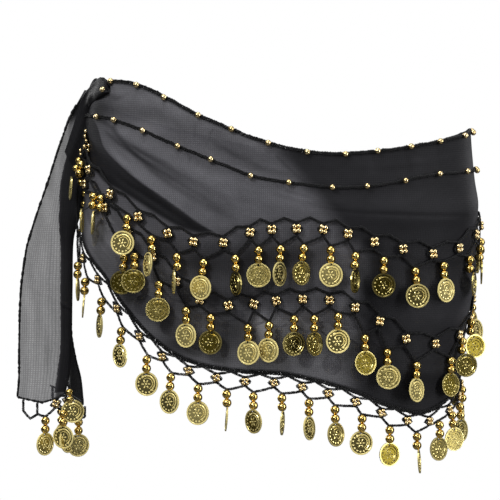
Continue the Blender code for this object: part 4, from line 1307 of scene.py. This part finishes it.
# beads, coins and chains gathered below the knot
# seeds and beads hang at "depth" and have an x and a z each, as a chain's turning points do
gatherCoin = namedtuple("gatherCoin", "x y z turn tilt")
gathered = {
    "depth": -25, "beadSize": 0.86, "coinTone": 0.8, "steps": 12,
    "seeds": [(-165.2, -11.1), (-165.7, -15.5), (-164.7, -19.3), (-166.3, -24.2), (-162.5, -23.1),
              (-163.1, -27.5), (-169, -45.9), (-172.3, -49.1), (-160.3, -37.2), (-158.1, -40.5),
              (-163.6, -48.1), (-161.4, -49.1), (-162, -41.6)],
    "beads": [(-179.2, -233.3), (-178.6, -239.4), (-171, -36.3), (-173.2, -42.7), (-168.9, -54.6),
              (-158, -60.7), (-165.6, -64.4), (-162.9, -67.8), (-166.2, -73.1)],
    "coins": table(gatherCoin, [(-158, -30, -84, 62, -5), (-177.5, -12, -250.5, 12, 4),
                                (-183.4, -5, -277, 62, -12)]),
    "chains": [[(-163.6, 5.5), (-165.4, -5.6), (-167.1, -22.6), (-170.5, -43.9), (-172.2, -56.7),
                (-173, -73.8), (-173, -90.9), (-172.4, -96.8), (-172.6, -107.9), (-171.8, -122.4),
                (-171.3, -131.8)],
               [(-162, -4), (-163.5, -20), (-162, -36), (-164, -52), (-161, -66), (-164.5, -80)],
               [(-182, -222), (-180, -229), (-178.8, -242)]],
    "loopBead": (-148.5, -58, 22), "loopBeadTone": 0.6,
}


def gatherUp():
    depth, steps = gathered["depth"], gathered["steps"]
    seeds = [(Matrix.Translation(Vector((x, depth - 1.2 * (i % 2), z)) * mm), draws.random())
             for i, (x, z) in enumerate(gathered["seeds"])]
    shrink = Matrix.Scale(gathered["beadSize"], 4)
    beads = [(Matrix.Translation(Vector((x, depth - 2, z)) * mm) @ shrink, draws.random())
             for x, z in gathered["beads"]]
    coins = []
    for x, y, z, turn, tilt in gathered["coins"]:
        spin = Matrix.Rotation(math.radians(tilt), 4, "Y") @ Matrix.Rotation(math.radians(turn), 4, "Z")
        coins.append((Matrix.Translation(Vector((x, y, z)) * mm) @ spin, gathered["coinTone"]))
    plaits = []
    for route in gathered["chains"]:
        points = []
        for (ax, az), (bx, bz) in zip(route, route[1:]):
            for step in range(steps):
                t = step / steps
                points.append(Vector((ax + (bx - ax) * t, depth + 3, az + (bz - az) * t)) * mm)
        normals = [Vector((0, -1, 0))] * len(points)
        plaits += plait(points, normals, net["half"] * mm, net["pitch"] * mm)
    finishPiece(strandCurve("gathered_chains", plaits, net["radius"] * mm), yarnFinish, "yarn")
    scatter("gathered_seeds", "seed", paleGold, seeds)
    scatter("gathered_beads", "big", beadGold, beads)
    scatter("gathered_coins", "coin", coinGold, coins)


gatherUp()
loopBead = Matrix.Translation(Vector(gathered["loopBead"]) * mm)
scatter("loop_bead", "edge", paleGold, [(loopBead, gathered["loopBeadTone"])])
for master in masters.values():
    bpy.data.objects.remove(master)
print("gathered end made")


print("pieces made")

# camera
view = {"lens": 158.5, "sensor": 36, "place": (-0.02546, -1.9, -0.11219), "far": 60}
camera = bpy.data.objects.new("camera", bpy.data.cameras.new("camera"))
camera.data.lens = view["lens"]
camera.data.sensor_width = view["sensor"]
camera.data.clip_end = view["far"]
camera.location = view["place"]
camera.rotation_euler = (math.pi / 2, 0, 0)  # level, looking along +Y
bpy.context.scene.collection.objects.link(camera)
bpy.context.scene.camera = camera

# light
lampRow = namedtuple("lampRow", "name x y z wide tall power")
lamps = table(lampRow, [
    ("key_left", -1.5, -2.0, 1.5, 0.9, 0.9, 46),
    ("fill_right", 1.9, -0.9, 0.1, 0.4, 1.8, 26),
    ("top", 0.0, -0.4, 2.3, 1.6, 1.0, 26),
    ("back_left", -1.6, 1.8, 0.6, 0.9, 1.4, 20),
    ("back_right", 1.7, 1.7, 0.5, 0.8, 1.4, 7),
    ("low_front", -0.3, -2.2, -1.2, 1.2, 0.3, 3),
    ("front", 0.15, -2.7, 0.4, 0.8, 0.4, 7),
])
lightAim = Vector((-0.02, 0, -0.12))
sky = {"heights": (0.1, 0.85), "strengths": (0.02, 0.85)}  # how bright it is, from low to high
floor = {
    "radius": 5, "height": -0.95, "pale": (0.86, 0.86, 0.86), "dim": (0.12, 0.12, 0.12), "roughness": 0.8,
    "fade": (1.2, 4.2),
}


def lightScene():
    for row in lamps:
        data = bpy.data.lights.new(row.name, "AREA")
        data.shape = "RECTANGLE"
        data.size, data.size_y = row.wide, row.tall
        data.energy = row.power
        lamp = bpy.data.objects.new(row.name, data)
        lamp.location = (row.x, row.y, row.z)
        lamp.rotation_euler = (lightAim - lamp.location).to_track_quat("-Z", "Y").to_euler()
        lamp.visible_camera = False
        bpy.context.scene.collection.objects.link(lamp)


def studioWorld():
    # white behind the object; bright above and darker at eye height for everything else
    world = bpy.data.worlds.new("studio")
    bpy.context.scene.world = world
    world.use_nodes = True
    tree = world.node_tree
    backdrop = tree.nodes["Background"]
    air = tree.nodes.new("ShaderNodeBackground")
    mix = tree.nodes.new("ShaderNodeMixShader")
    path = tree.nodes.new("ShaderNodeLightPath")
    place = tree.nodes.new("ShaderNodeTexCoord")
    split = tree.nodes.new("ShaderNodeSeparateXYZ")
    backdrop.inputs["Color"].default_value = (1, 1, 1, 1)
    backdrop.inputs["Strength"].default_value = 1.0
    tree.links.new(place.outputs["Generated"], split.inputs[0])
    strength = rangeNode(tree, split.outputs["Z"], sky["heights"], sky["strengths"])
    tree.links.new(strength, air.inputs["Strength"])
    tree.links.new(path.outputs["Is Camera Ray"], mix.inputs[0])
    tree.links.new(air.outputs[0], mix.inputs[1])
    tree.links.new(backdrop.outputs[0], mix.inputs[2])
    tree.links.new(mix.outputs[0], tree.nodes["World Output"].inputs["Surface"])


def paleFloor():
    # a round floor far below, which fades out before its rim
    bpy.ops.mesh.primitive_circle_add(vertices=96, radius=floor["radius"], fill_type="NGON")
    piece = bpy.context.object
    piece.name = "floor"
    piece.data.transform(Matrix.Translation((0, 0, floor["height"])))
    # it is dim in the metal's reflections, so that the beads keep dark undersides
    made, tree, shader = newMaterial("pale_floor", floor["pale"], floor["roughness"])
    path = tree.nodes.new("ShaderNodeLightPath")
    shade = colourNode(tree, path.outputs["Is Camera Ray"], floor["dim"], floor["pale"])
    tree.links.new(shade, shader.inputs["Base Color"])
    place = tree.nodes.new("ShaderNodeTexCoord")
    away = tree.nodes.new("ShaderNodeVectorMath")
    away.operation = "LENGTH"
    tree.links.new(place.outputs["Object"], away.inputs[0])
    tree.links.new(rangeNode(tree, away.outputs["Value"], floor["fade"], (1.0, 0.0)), shader.inputs["Alpha"])
    piece.data.materials.append(made)
    piece.select_set(False)


lightScene()
studioWorld()
paleFloor()
bpy.context.scene.view_settings.view_transform = "Standard"
print("stage lit")
